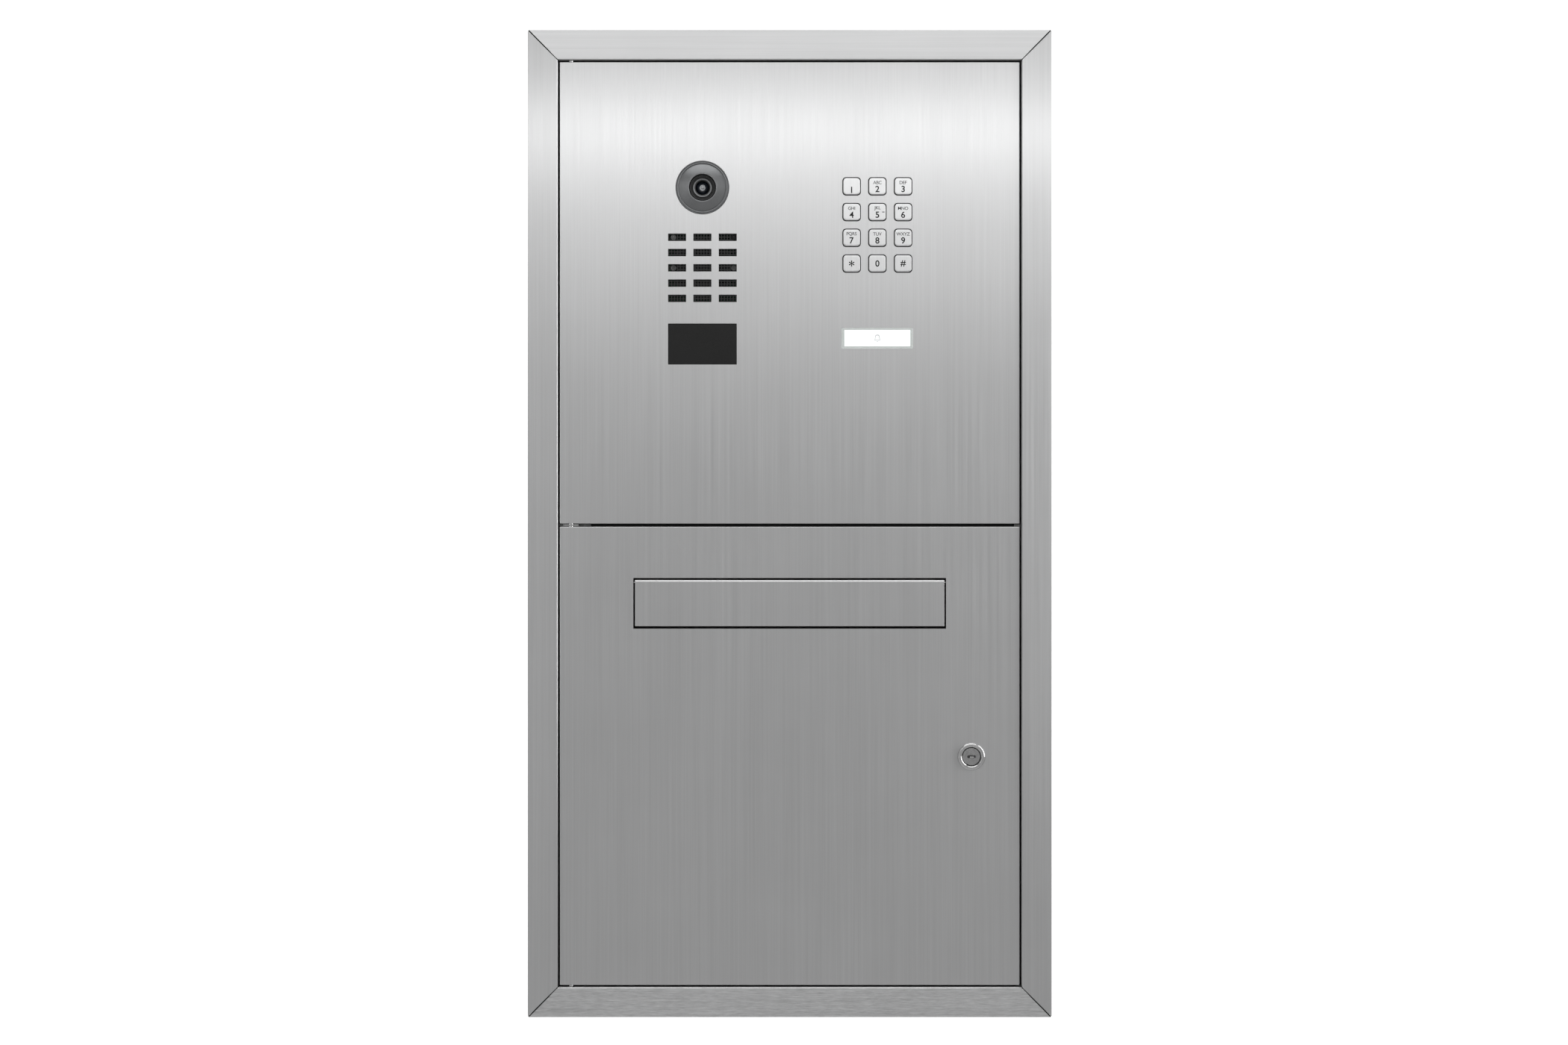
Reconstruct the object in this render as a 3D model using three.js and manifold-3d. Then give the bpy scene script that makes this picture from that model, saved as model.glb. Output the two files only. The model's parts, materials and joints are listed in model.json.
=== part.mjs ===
// Door intercom panel with a mailbox, built into a wall.
//
// Millimetres. The origin is the centre of the wall opening, in the plane of the wall's face.
// +X runs to the right as seen from the street, +Z runs up, and the street is on the -Y side,
// so everything with a positive Y is inside the wall.
//
// An open-fronted sheet box sits in the wall. A mitred trim frame covers the edge of the hole and
// reaches into the box. Two hinged trays close the box: the upper one carries the intercom, the
// lower one is the mailbox door with its letter flap and cam lock.

import * as THREE from 'three';
import { mergeVertices } from 'three/addons/utils/BufferGeometryUtils.js';
import Module from 'manifold-3d';

const wasm = await Module();
wasm.setup();

// ---------------------------------------------------------------- driving dimensions

const SHEET = 1.5;                  // thickness of the stainless sheet
const GAP = 0.3;                    // air between pieces that are fastened to each other

// trim frame
const OPENING_HALF_W = 180;         // clear opening inside the trim
const OPENING_HALF_H = 360;
const TRIM_WIDTH = 23.5;            // face width of one member
const TRIM_INNER_Y = -6;            // front of the face at its inner edge
const TRIM_OUTER_Y = -3.5;          // front of the face at its outer edge
const TRIM_RETURN_Y = 28;           // how far the inner return reaches into the wall
const TRIM_BEND_R = 1.2;            // bend between the face and the inner return
const MITRE_GAP = 0.4;              // each member stops this much short of the mitre plane

// wall box
const BOX_HALF_W = 186;             // outside
const BOX_HALF_H = 366;
const BOX_FRONT_Y = 2;
const BOX_BACK_Y = 107;

// the two trays
const TRAY_HALF_W = 178;
const TRAY_FRONT_Y = -3;
const TRAY_RETURN_Y = 12;
const UPPER_TRAY_Z = [-0.3, 358];
const LOWER_TRAY_Z = [-358, -2.2];
const TRAY_BACK_Y = TRAY_FRONT_Y + SHEET;

// hinges, one axis for both trays
const HINGE_X = -170;
const HINGE_Y = 2;
const HINGE_PIN_R = 2;
const HINGE_HOLE_R = 2.4;

// divider between the two compartments
const DIVIDER_Z = [-1.85, -0.65];
const DIVIDER_FRONT_Y = 14;
const DIVIDER_LIP = 11;
const DIVIDER_LIP_FROM_X = -150;
const TONGUE_HALF_W = 6;
const TONGUE_FRONT_Y = -0.5;

// bolt that keeps the upper tray shut, worked from inside the mailbox
const BOLT_X = 150;
const BOLT_Y = 24;
const BOLT_R = 2.5;
const BOLT_TRAVEL = 6;
const BOLT_KNOB_R = 6;
const BOLT_KNOB_H = 8.5;
const BOLT_TAB_HALF_W = 10;
const BOLT_TAB_BACK_Y = 31;

// cable entry in the top of the box
const GLAND_X = -120;
const GLAND_Y = 60;
const GLAND_BORE_R = 4.5;
const GLAND_THREAD_R = 8;
const GLAND_HEAD_R = 11;

// intercom features on the upper tray
const CAMERA_X = -67.8;
const CAMERA_Z = 261.1;
const BEZEL_R = 20.65;
const BARREL_R = 10;
const GRILLE_Z = 198.7;
const SLOT_W = 14;
const SLOT_H = 5.8;
const SLOT_PITCH_X = 19.67;
const SLOT_PITCH_Z = 11.87;
const SLOT_COLUMNS = 3;
const SLOT_ROWS = 5;
const SENSOR_R = 2.2;
// from the grille's middle: the small parts sit near the outer ends of their slots
const SENSOR_LEFT_X = -22.6;
const SENSOR_RIGHT_X = 24.4;
const READER_Z = 139.5;
const READER_W = 53.4;
const READER_H = 31.9;
const MODULE_HALF_W = 36;
const MODULE_Z = [117, 289];
const MODULE_BACK_Y = 34;

// keypad
const KEYPAD_X = 68.1;
const KEYPAD_Z = 232;
const KEY_PITCH = 20;
const KEY_HOLE = 14.4;
const KEY_HOLE_CORNER_R = 2.9;
const KEY_FACE = 12.3;
const KEY_CORNER_R = 2.4;
const KEY_FRONT_Y = -4;
const KEY_FLANGE = 16.6;
const KEY_TRAVEL = 0.8;
const KEY_NAMES = [
  ['key_1', 'key_2', 'key_3'],
  ['key_4', 'key_5', 'key_6'],
  ['key_7', 'key_8', 'key_9'],
  ['key_star', 'key_0', 'key_hash'],
];

// call button
const BUTTON_Z = 144.1;
const BUTTON_HOLE_W = 56;
const BUTTON_HOLE_H = 16.4;
const BUTTON_W = 55.2;
const BUTTON_H = 15.6;
const BUTTON_FRONT_Y = -3.4;
const BUTTON_TRAVEL = 1.2;
const LABEL_W = 51;
const LABEL_H = 12.4;

// letter flap, its opening and the chute behind it
const FLAP_HOLE_HALF_W = 121.5;
const FLAP_HOLE_Z = [-81.7, -42.3];
const FLAP_HALF_W = 120.15;
const FLAP_Z = [-79.7, -43.4];
const FLAP_BEND_R = 2;
const FLAP_HEM_R = 2.2;
const FLAP_HEM_HALF_W = 112;
const FLAP_AXIS_Y = 5;
const FLAP_AXIS_Z = FLAP_Z[1] - FLAP_HEM_R;
const ROD_R = 1.1;
const CHUTE_CLEARANCE = 1;
const CHUTE_BACK_Y = 14;

// cam lock
const LOCK_X = 141.1;
const LOCK_Z = -181;
const LOCK_HEAD_R = 10.75;
const LOCK_BARREL_R = 8.8;
const LOCK_HOLE_R = 9.1;
const PLUG_R = 6.9;
const CAM_Y = [15.4, 17.4];
const CAM_REACH = 36;
const CAM_HALF_W = 7;

// ---------------------------------------------------------------- geometry helpers

/** A box between two opposite corners, with exactly the numbers given. */
function block([x0, x1], [y0, y1], [z0, z1]) {
  const geometry = new THREE.BoxGeometry();
  const position = geometry.attributes.position;
  for (let i = 0; i < position.count; i += 1) {
    position.setXYZ(
      i,
      position.getX(i) < 0 ? x0 : x1,
      position.getY(i) < 0 ? y0 : y1,
      position.getZ(i) < 0 ? z0 : z1,
    );
  }
  return geometry;
}

/** A box centred on x and z, between two depths. */
function plate(width, height, y, x = 0, z = 0) {
  return block([x - width / 2, x + width / 2], y, [z - height / 2, z + height / 2]);
}

/** A cylinder along Y, Z or X, from one end to the other. */
function rod(axis, radius, [from, to], sides = 16) {
  const geometry = new THREE.CylinderGeometry(radius, radius, to - from, sides);
  geometry.translate(0, (from + to) / 2, 0);
  if (axis === 'z') {
    geometry.rotateX(Math.PI / 2);
  }
  if (axis === 'x') {
    geometry.rotateZ(-Math.PI / 2);
  }
  return geometry;
}

/** A body turned about the Y axis from (radius, y) points that close on themselves. */
function turned(profile, sides = 32) {
  const points = profile.map(([r, y]) => new THREE.Vector2(r, y));
  if (THREE.ShapeUtils.area(points) < 0) {
    points.reverse();
  }
  return new THREE.LatheGeometry([...points, points[0].clone()], sides);
}

/** Points of an arc in a plane, angles in degrees. */
function arc(cx, cy, radius, fromDeg, toDeg, steps) {
  return Array.from({ length: steps + 1 }, (_, i) => {
    const angle = THREE.MathUtils.degToRad(fromDeg + (toDeg - fromDeg) * i / steps);
    return [cx + radius * Math.cos(angle), cy + radius * Math.sin(angle)];
  });
}

/** A closed outline as a three.js path or shape. */
function outline(points, Kind = THREE.Shape) {
  return new Kind(points.map(([x, y]) => new THREE.Vector2(x, y)));
}

/** Corner points of a rectangle with round corners, centred on (x, z). */
function roundedRectangle(width, height, radius, x = 0, z = 0, steps = 3) {
  const dx = width / 2 - radius;
  const dz = height / 2 - radius;
  return [
    ...arc(x + dx, z + dz, radius, 0, 90, steps),
    ...arc(x - dx, z + dz, radius, 90, 180, steps),
    ...arc(x - dx, z - dz, radius, 180, 270, steps),
    ...arc(x + dx, z - dz, radius, 270, 360, steps),
  ];
}

/** Corner points of a plain rectangle centred on (x, z). */
function rectangle(width, height, x = 0, z = 0) {
  const dx = width / 2;
  const dz = height / 2;
  return [[x + dx, z + dz], [x - dx, z + dz], [x - dx, z - dz], [x + dx, z - dz]];
}

/** An outline drawn in X and Z, given a thickness in Y. */
function slab(points, [front, back], holes = [], bevel = 0) {
  const shape = outline(points);
  shape.holes = holes.map((hole) => outline(hole, THREE.Path));
  const geometry = new THREE.ExtrudeGeometry(shape, {
    depth: back - front - bevel,
    bevelEnabled: bevel > 0,
    bevelThickness: bevel,
    bevelSize: bevel,
    bevelOffset: -bevel,
    bevelSegments: 2,
  });
  return geometry.rotateX(Math.PI / 2).translate(0, back, 0);
}

/** An outline drawn in Y and Z, extruded along X between two places. */
function extrusionAlongX(points, [from, to]) {
  const geometry = new THREE.ExtrudeGeometry(outline(points), { depth: to - from, bevelEnabled: false });
  // the outline's x becomes Y, its y becomes Z and the depth becomes X
  const turn = new THREE.Matrix4().makeBasis(
    new THREE.Vector3(0, 1, 0),
    new THREE.Vector3(0, 0, 1),
    new THREE.Vector3(1, 0, 0),
  );
  return geometry.applyMatrix4(turn).translate(from, 0, 0);
}

function toManifold(geometry) {
  const bare = geometry.clone();
  bare.deleteAttribute('normal');
  bare.deleteAttribute('uv');
  const merged = mergeVertices(bare, 1e-4);
  return new wasm.Manifold(new wasm.Mesh({
    numProp: 3,
    vertProperties: new Float32Array(merged.attributes.position.array),
    triVerts: new Uint32Array(merged.index.array),
  }));
}

function fromManifold(manifold) {
  const mesh = manifold.getMesh();
  const geometry = new THREE.BufferGeometry();
  geometry.setAttribute('position', new THREE.BufferAttribute(mesh.vertProperties, 3));
  geometry.setIndex(new THREE.BufferAttribute(mesh.triVerts, 1));
  geometry.computeVertexNormals();
  return geometry;
}

function joined(first, ...others) {
  return fromManifold(others.reduce((solid, other) => solid.add(toManifold(other)), toManifold(first)));
}

function cut(first, ...tools) {
  return fromManifold(tools.reduce((solid, tool) => solid.subtract(toManifold(tool)), toManifold(first)));
}

// ---------------------------------------------------------------- materials and scene

const FINISHES = {
  brushedSteel: { color: 0xb4b5b6, roughness: 0.38, metalness: 1 },
  plainSteel: { color: 0x9a9c9e, roughness: 0.45, metalness: 1 },
  zincPlate: { color: 0xa9adb0, roughness: 0.4, metalness: 1 },
  chrome: { color: 0xd8d9da, roughness: 0.12, metalness: 1 },
  greyPlastic: { color: 0x55585b, roughness: 0.5, metalness: 0 },
  blackPlastic: { color: 0x1c1d1f, roughness: 0.55, metalness: 0 },
  blackGloss: { color: 0x121214, roughness: 0.2, metalness: 0 },
  glass: { color: 0x20252b, roughness: 0.05, metalness: 0 },
  board: { color: 0x1f5a38, roughness: 0.5, metalness: 0 },
  rubber: { color: 0x3a3c3e, roughness: 0.8, metalness: 0 },
  clearPlastic: { color: 0xe8eef0, roughness: 0.1, metalness: 0 },
  whiteLabel: { color: 0xfafafa, roughness: 0.4, metalness: 0 },
};

function addPart(parent, name, geometry, finish) {
  const mesh = new THREE.Mesh(geometry, new THREE.MeshStandardMaterial(FINISHES[finish]));
  mesh.name = name;
  parent.add(mesh);
  return mesh;
}

function addGroup(parent, x = 0, z = 0) {
  const group = new THREE.Group();
  group.position.set(x, 0, z);
  parent.add(group);
  return group;
}

const intercom = new THREE.Group();

// ---------------------------------------------------------------- trim frame

/** Front of the trim's face at a distance from its inner edge. */
function trimFaceY(distance) {
  return TRIM_INNER_Y + (TRIM_OUTER_Y - TRIM_INNER_Y) * distance / TRIM_WIDTH;
}

/**
 * One mitred member, drawn as the right-hand one: its section is in X (distance from the inner
 * edge) and Y, and its length is along Z. The ends are cut at 45 degrees.
 */
function trimMember(halfLength) {
  const bend = arc(TRIM_BEND_R, TRIM_INNER_Y + TRIM_BEND_R, TRIM_BEND_R, 180, 264, 3);
  const section = [
    [0, TRIM_RETURN_Y],
    ...bend,
    [TRIM_WIDTH, TRIM_OUTER_Y],
    [TRIM_WIDTH, 0],
    [TRIM_WIDTH - SHEET, 0],
    [TRIM_WIDTH - SHEET, trimFaceY(TRIM_WIDTH - SHEET) + SHEET],
    [SHEET, trimFaceY(SHEET) + SHEET],
    [SHEET, TRIM_RETURN_Y],
  ];
  const geometry = new THREE.ExtrudeGeometry(outline(section), { depth: 2, bevelEnabled: false });
  const position = geometry.attributes.position;
  for (let i = 0; i < position.count; i += 1) {
    const reach = halfLength + position.getX(i) - MITRE_GAP;
    position.setZ(i, (position.getZ(i) - 1) * reach);
  }
  return geometry;
}

const topHingeHole = rod('z', HINGE_HOLE_R, [OPENING_HALF_H - 5, OPENING_HALF_H + 5])
  .translate(HINGE_X, HINGE_Y, 0);
const bottomHingeHole = rod('z', HINGE_HOLE_R, [-OPENING_HALF_H - 5, -OPENING_HALF_H + 5])
  .translate(HINGE_X, HINGE_Y, 0);

const trimSide = trimMember(OPENING_HALF_H);
const trimEnd = trimMember(OPENING_HALF_W);
addPart(intercom, 'trim_right', trimSide.clone().translate(OPENING_HALF_W, 0, 0), 'brushedSteel');
addPart(
  intercom,
  'trim_left',
  trimSide.clone().rotateY(Math.PI).translate(-OPENING_HALF_W, 0, 0),
  'brushedSteel',
);
addPart(
  intercom,
  'trim_top',
  cut(trimEnd.clone().rotateY(-Math.PI / 2).translate(0, 0, OPENING_HALF_H), topHingeHole),
  'brushedSteel',
);
addPart(
  intercom,
  'trim_bottom',
  cut(trimEnd.clone().rotateY(Math.PI / 2).translate(0, 0, -OPENING_HALF_H), bottomHingeHole),
  'brushedSteel',
);

// ---------------------------------------------------------------- wall box and divider

/** The box is welded from five plates: a full back, two full sides, and a top and bottom between. */
const boxSideY = [BOX_FRONT_Y, BOX_BACK_Y - SHEET - GAP];
const boxBetweenHalfW = BOX_HALF_W - SHEET - GAP;

function boxBack() {
  return block(
    [-BOX_HALF_W, BOX_HALF_W],
    [BOX_BACK_Y - SHEET, BOX_BACK_Y],
    [-BOX_HALF_H, BOX_HALF_H],
  );
}

function boxSide(from) {
  return block([from, from + SHEET], boxSideY, [-BOX_HALF_H, BOX_HALF_H]);
}

function boxBottom() {
  return block([-boxBetweenHalfW, boxBetweenHalfW], boxSideY, [-BOX_HALF_H, -BOX_HALF_H + SHEET]);
}

function boxTop() {
  const hole = rod('z', GLAND_THREAD_R + GAP, [BOX_HALF_H - 5, BOX_HALF_H + 5], 24);
  return cut(
    block([-boxBetweenHalfW, boxBetweenHalfW], boxSideY, [BOX_HALF_H - SHEET, BOX_HALF_H]),
    hole.translate(GLAND_X, GLAND_Y, 0),
  );
}

function dividerShelf() {
  const betweenTrimHalfW = OPENING_HALF_W - GAP;
  const behindTrimY = TRIM_RETURN_Y + GAP;
  const rearShelf = block(
    [-boxBetweenHalfW, boxBetweenHalfW],
    [behindTrimY, BOX_BACK_Y - SHEET - GAP],
    DIVIDER_Z,
  );
  const frontShelf = block(
    [-betweenTrimHalfW, betweenTrimHalfW],
    [DIVIDER_FRONT_Y, behindTrimY + 1],
    DIVIDER_Z,
  );
  const lip = block(
    [DIVIDER_LIP_FROM_X, betweenTrimHalfW],
    [DIVIDER_FRONT_Y, DIVIDER_FRONT_Y + SHEET],
    [DIVIDER_Z[0] - DIVIDER_LIP, DIVIDER_Z[1]],
  );
  const hingeTongue = block(
    [HINGE_X - TONGUE_HALF_W, HINGE_X + TONGUE_HALF_W],
    [TONGUE_FRONT_Y, DIVIDER_FRONT_Y + 1],
    DIVIDER_Z,
  );
  return cut(
    joined(rearShelf, frontShelf, lip, hingeTongue),
    rod('z', HINGE_HOLE_R, [-5, 5]).translate(HINGE_X, HINGE_Y, 0),
    rod('z', BOLT_R + 0.4, [-5, 5]).translate(BOLT_X, BOLT_Y, 0),
  );
}

addPart(intercom, 'wall_box_back', boxBack(), 'plainSteel');
addPart(intercom, 'wall_box_left', boxSide(-BOX_HALF_W), 'plainSteel');
addPart(intercom, 'wall_box_right', boxSide(BOX_HALF_W - SHEET), 'plainSteel');
addPart(intercom, 'wall_box_top', boxTop(), 'plainSteel');
addPart(intercom, 'wall_box_bottom', boxBottom(), 'plainSteel');
addPart(intercom, 'divider_shelf', dividerShelf(), 'plainSteel');

// ---------------------------------------------------------------- hinge pins

/** Headed pin that goes through the trim's return and the tray's return. */
function endPin(side) {
  const headZ = OPENING_HALF_H + SHEET + GAP;
  const shank = rod('z', HINGE_PIN_R, [OPENING_HALF_H - 8, headZ + 1]);
  const head = rod('z', 4, [headZ, headZ + 1.8]);
  const pin = joined(shank, head);
  if (side < 0) {
    pin.rotateX(Math.PI);
  }
  return pin.translate(HINGE_X, HINGE_Y, 0);
}

addPart(intercom, 'hinge_pin_top', endPin(1), 'chrome');
addPart(intercom, 'hinge_pin_bottom', endPin(-1), 'chrome');
addPart(
  intercom,
  'hinge_pin_middle',
  rod('z', HINGE_PIN_R, [-9, 7]).translate(HINGE_X, HINGE_Y, 0),
  'chrome',
);

// ---------------------------------------------------------------- cable gland

function cableGland() {
  const top = BOX_HALF_H;
  const profile = [
    [GLAND_BORE_R, top - 12],
    [GLAND_THREAD_R, top - 12],
    [GLAND_THREAD_R, top + 0.1],
    [GLAND_HEAD_R, top + 0.1],
    [GLAND_HEAD_R, top + 4],
    [GLAND_HEAD_R - 2, top + 9],
    [GLAND_BORE_R, top + 9],
  ];
  return turned(profile, 24).rotateX(Math.PI / 2).translate(GLAND_X, GLAND_Y, 0);
}

function glandNut() {
  const inside = BOX_HALF_H - SHEET;
  const hexagon = rod('z', GLAND_HEAD_R, [inside - 5, inside - 0.1], 6);
  const bore = rod('z', GLAND_THREAD_R + GAP, [inside - 6, inside + 1], 24);
  return cut(hexagon, bore).translate(GLAND_X, GLAND_Y, 0);
}

addPart(intercom, 'cable_gland', cableGland(), 'blackPlastic');
addPart(intercom, 'gland_nut', glandNut(), 'blackPlastic');

// ---------------------------------------------------------------- lock strike and panel bolt

function lockStrike() {
  const front = TRAY_RETURN_Y + 0.8;
  const inner = OPENING_HALF_W - GAP;
  const height = [LOCK_Z - 14, LOCK_Z + 14];
  return joined(
    block([inner - 1.4, inner], [front, TRIM_RETURN_Y - 1], height),
    block([inner - 12, inner - 1], [front, front + 2], height),
  );
}

/** Push bolt: a knob under the divider with a pin that rises into the upper tray's tab. */
function panelBolt() {
  const pinTop = DIVIDER_Z[1] - 0.25;
  const knobTop = DIVIDER_Z[0] - BOLT_TRAVEL - 0.65;
  const profile = [
    [0, knobTop - BOLT_KNOB_H],
    [BOLT_KNOB_R - 1, knobTop - BOLT_KNOB_H],
    [BOLT_KNOB_R, knobTop - BOLT_KNOB_H + 1],
    [BOLT_KNOB_R, knobTop],
    [BOLT_R, knobTop],
    [BOLT_R, pinTop],
    [0, pinTop],
  ];
  return turned(profile, 16).rotateX(Math.PI / 2).translate(BOLT_X, BOLT_Y, 0);
}

addPart(intercom, 'lock_strike', lockStrike(), 'zincPlate');
addPart(intercom, 'panel_bolt', panelBolt(), 'chrome');

// ---------------------------------------------------------------- trays

/** A sheet folded back on all four edges, with holes in its face. */
function tray([bottom, top], holes) {
  const middle = (bottom + top) / 2;
  const height = top - bottom;
  return cut(
    plate(2 * TRAY_HALF_W, height, [TRAY_FRONT_Y, TRAY_RETURN_Y], 0, middle),
    plate(
      2 * (TRAY_HALF_W - SHEET),
      height - 2 * SHEET,
      [TRAY_BACK_Y, TRAY_RETURN_Y + 1],
      0,
      middle,
    ),
    ...holes.map((hole) => slab(hole, [TRAY_FRONT_Y - 1, TRAY_BACK_Y + 1])),
  );
}

function hingeHoleAt(z) {
  return rod('z', HINGE_HOLE_R, [z - 4, z + 4]).translate(HINGE_X, HINGE_Y, 0);
}

/** Centres of the sound slots, row by row from the top. */
function slotCentres() {
  const centres = [];
  for (let row = 0; row < SLOT_ROWS; row += 1) {
    for (let column = 0; column < SLOT_COLUMNS; column += 1) {
      centres.push([
        CAMERA_X + (column - (SLOT_COLUMNS - 1) / 2) * SLOT_PITCH_X,
        GRILLE_Z + ((SLOT_ROWS - 1) / 2 - row) * SLOT_PITCH_Z,
      ]);
    }
  }
  return centres;
}

/** Name and place of every key, relative to the keypad's centre. */
const keyPlaces = KEY_NAMES.flatMap((names, row) => names.map((name, column) => ({
  name,
  x: (column - 1) * KEY_PITCH,
  z: (1.5 - row) * KEY_PITCH,
})));

function intercomFrontPanel() {
  const holes = [
    arc(CAMERA_X, CAMERA_Z, BEZEL_R + 0.25, 0, 345, 23),
    ...slotCentres().map(([x, z]) => rectangle(SLOT_W, SLOT_H, x, z)),
    rectangle(READER_W, READER_H, CAMERA_X, READER_Z),
    ...keyPlaces.map(({ x, z }) => roundedRectangle(
      KEY_HOLE, KEY_HOLE, KEY_HOLE_CORNER_R, KEYPAD_X + x, KEYPAD_Z + z,
    )),
    rectangle(BUTTON_HOLE_W, BUTTON_HOLE_H, KEYPAD_X, BUTTON_Z),
  ];
  const boltTab = block(
    [BOLT_X - BOLT_TAB_HALF_W, BOLT_X + BOLT_TAB_HALF_W],
    [TRAY_RETURN_Y - 1, BOLT_TAB_BACK_Y],
    [UPPER_TRAY_Z[0], UPPER_TRAY_Z[0] + SHEET],
  );
  return cut(
    joined(tray(UPPER_TRAY_Z, holes), boltTab),
    hingeHoleAt(UPPER_TRAY_Z[0]),
    hingeHoleAt(UPPER_TRAY_Z[1]),
    rod('z', BOLT_R + 0.5, [-4, 4]).translate(BOLT_X, BOLT_Y, 0),
  );
}

function mailboxDoorPanel() {
  const flapHole = rectangle(
    2 * FLAP_HOLE_HALF_W,
    FLAP_HOLE_Z[1] - FLAP_HOLE_Z[0],
    0,
    (FLAP_HOLE_Z[0] + FLAP_HOLE_Z[1]) / 2,
  );
  const lockHole = arc(LOCK_X, LOCK_Z, LOCK_HOLE_R, 0, 345, 23);
  return cut(
    tray(LOWER_TRAY_Z, [flapHole, lockHole]),
    hingeHoleAt(LOWER_TRAY_Z[0]),
    hingeHoleAt(LOWER_TRAY_Z[1]),
  );
}

addPart(intercom, 'intercom_front_panel', intercomFrontPanel(), 'brushedSteel');
addPart(intercom, 'mailbox_door_panel', mailboxDoorPanel(), 'brushedSteel');

// ---------------------------------------------------------------- camera

const camera = addGroup(intercom, CAMERA_X, CAMERA_Z);

/** Flush ring with a dished face, held behind the tray by its flange. */
const bezelProfile = [
  [BARREL_R + 0.3, 8],
  [BARREL_R + 0.3, -0.6],
  [18, -2.9],
  [18.4, -3.2],
  [BEZEL_R, -3.2],
  [BEZEL_R, TRAY_BACK_Y + GAP],
  [23.5, TRAY_BACK_Y + GAP],
  [23.5, 1],
  [13.5, 1],
  [13.5, 8],
];
const barrelProfile = [
  [0, 14],
  [BARREL_R, 14],
  [BARREL_R, -0.9],
  [8.4, -0.9],
  [8.1, -0.3],
  [5.6, 0.5],
  [5.6, 6],
  [0, 6],
];
const lensProfile = [
  [0, 5.7],
  [5.3, 5.7],
  [5.3, 2],
  ...arc(0, 6.87, 6, -28, -78, 4),
  [0, 0.87],
];
addPart(camera, 'camera_bezel', turned(bezelProfile, 48), 'greyPlastic');
addPart(camera, 'camera_lens_barrel', turned(barrelProfile, 32), 'blackPlastic');
addPart(camera, 'camera_lens', turned(lensProfile, 24), 'glass');
addPart(camera, 'camera_board', plate(36, 36, [14.3, 15.9]), 'board');

// ---------------------------------------------------------------- sound grille

const grille = addGroup(intercom, CAMERA_X, GRILLE_Z);
const sensorPlaces = [
  { name: 'status_led', x: SENSOR_LEFT_X, z: 2 * SLOT_PITCH_Z, finish: 'clearPlastic' },
  { name: 'light_sensor', x: SENSOR_RIGHT_X, z: 2 * SLOT_PITCH_Z, finish: 'blackGloss' },
  { name: 'microphone_left', x: SENSOR_LEFT_X, z: 0, finish: 'greyPlastic' },
  { name: 'microphone_right', x: SENSOR_RIGHT_X, z: 0, finish: 'greyPlastic' },
];
const grilleSide = 57;
const meshHoles = sensorPlaces.map(({ x, z }) => arc(x, z, SENSOR_R + GAP, 0, 330, 11));
addPart(
  grille,
  'speaker_mesh',
  slab(rectangle(grilleSide, grilleSide), [TRAY_BACK_Y + GAP, TRAY_BACK_Y + GAP + 0.5], meshHoles),
  'blackPlastic',
);
for (const { name, x, z, finish } of sensorPlaces) {
  addPart(grille, name, rod('y', SENSOR_R, [-1.4, 2.5], 12).translate(x, 0, z), finish);
}

const speakerProfile = [
  [0, 16],
  [9, 16],
  [9, 9],
  [14, 9],
  [23, 5.5],
  [24, 5.5],
  [24, 4],
  [21, 4],
  [10, 7],
  [0, 6],
];
addPart(grille, 'loudspeaker', turned(speakerProfile, 24), 'blackPlastic');

// ---------------------------------------------------------------- card reader

const reader = addGroup(intercom, CAMERA_X, READER_Z);
addPart(
  reader,
  'rfid_window',
  joined(
    plate(READER_W - 0.4, READER_H - 0.4, [-2.95, TRAY_BACK_Y + 0.5]),
    plate(READER_W + 5, READER_H + 5, [TRAY_BACK_Y + GAP, -0.2]),
  ),
  'blackGloss',
);
addPart(reader, 'rfid_board', plate(56, 34, [1, 2.6]), 'board');

// ---------------------------------------------------------------- intercom module behind them

/** Open-fronted moulded housing. */
function openHousing(width, height, [front, back], wall, x = 0, z = 0) {
  return cut(
    plate(width, height, [front, back], x, z),
    plate(width - 2 * wall, height - 2 * wall, [front - 1, back - wall], x, z),
  );
}

const moduleMiddle = (MODULE_Z[0] + MODULE_Z[1]) / 2;
const moduleHeight = MODULE_Z[1] - MODULE_Z[0];
const electronics = addGroup(intercom, CAMERA_X, moduleMiddle);
addPart(
  electronics,
  'module_housing',
  openHousing(2 * MODULE_HALF_W, moduleHeight, [TRAY_BACK_Y + GAP, MODULE_BACK_Y], 2),
  'blackPlastic',
);
addPart(
  electronics,
  'main_board',
  plate(2 * MODULE_HALF_W - 8, moduleHeight - 12, [20, 21.6]),
  'board',
);

// ---------------------------------------------------------------- keypad

const keypad = addGroup(intercom, KEYPAD_X, KEYPAD_Z);
const flangeFront = TRAY_BACK_Y + GAP;
const flangeBack = flangeFront + 0.8;
const matFront = flangeBack + KEY_TRAVEL + GAP;

function key() {
  const flange = slab(
    roundedRectangle(KEY_FLANGE, KEY_FLANGE, KEY_CORNER_R, 0, 0, 2),
    [flangeFront, flangeBack],
  );
  const cap = slab(
    roundedRectangle(KEY_FACE, KEY_FACE, KEY_CORNER_R),
    [KEY_FRONT_Y, flangeFront + 0.4],
    [],
    0.5,
  );
  return joined(flange, cap);
}

for (const { name, x, z } of keyPlaces) {
  const mesh = addPart(keypad, name, key(), 'brushedSteel');
  mesh.position.set(x, 0, z);
}
addPart(keypad, 'keypad_frame', openHousing(70, 90, [flangeFront, 8], 1.5), 'blackPlastic');
addPart(keypad, 'keypad_mat', plate(65, 85, [matFront, matFront + 1]), 'rubber');
addPart(keypad, 'keypad_board', plate(65, 85, [matFront + 1.3, matFront + 2.9]), 'board');

// ---------------------------------------------------------------- call button

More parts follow.
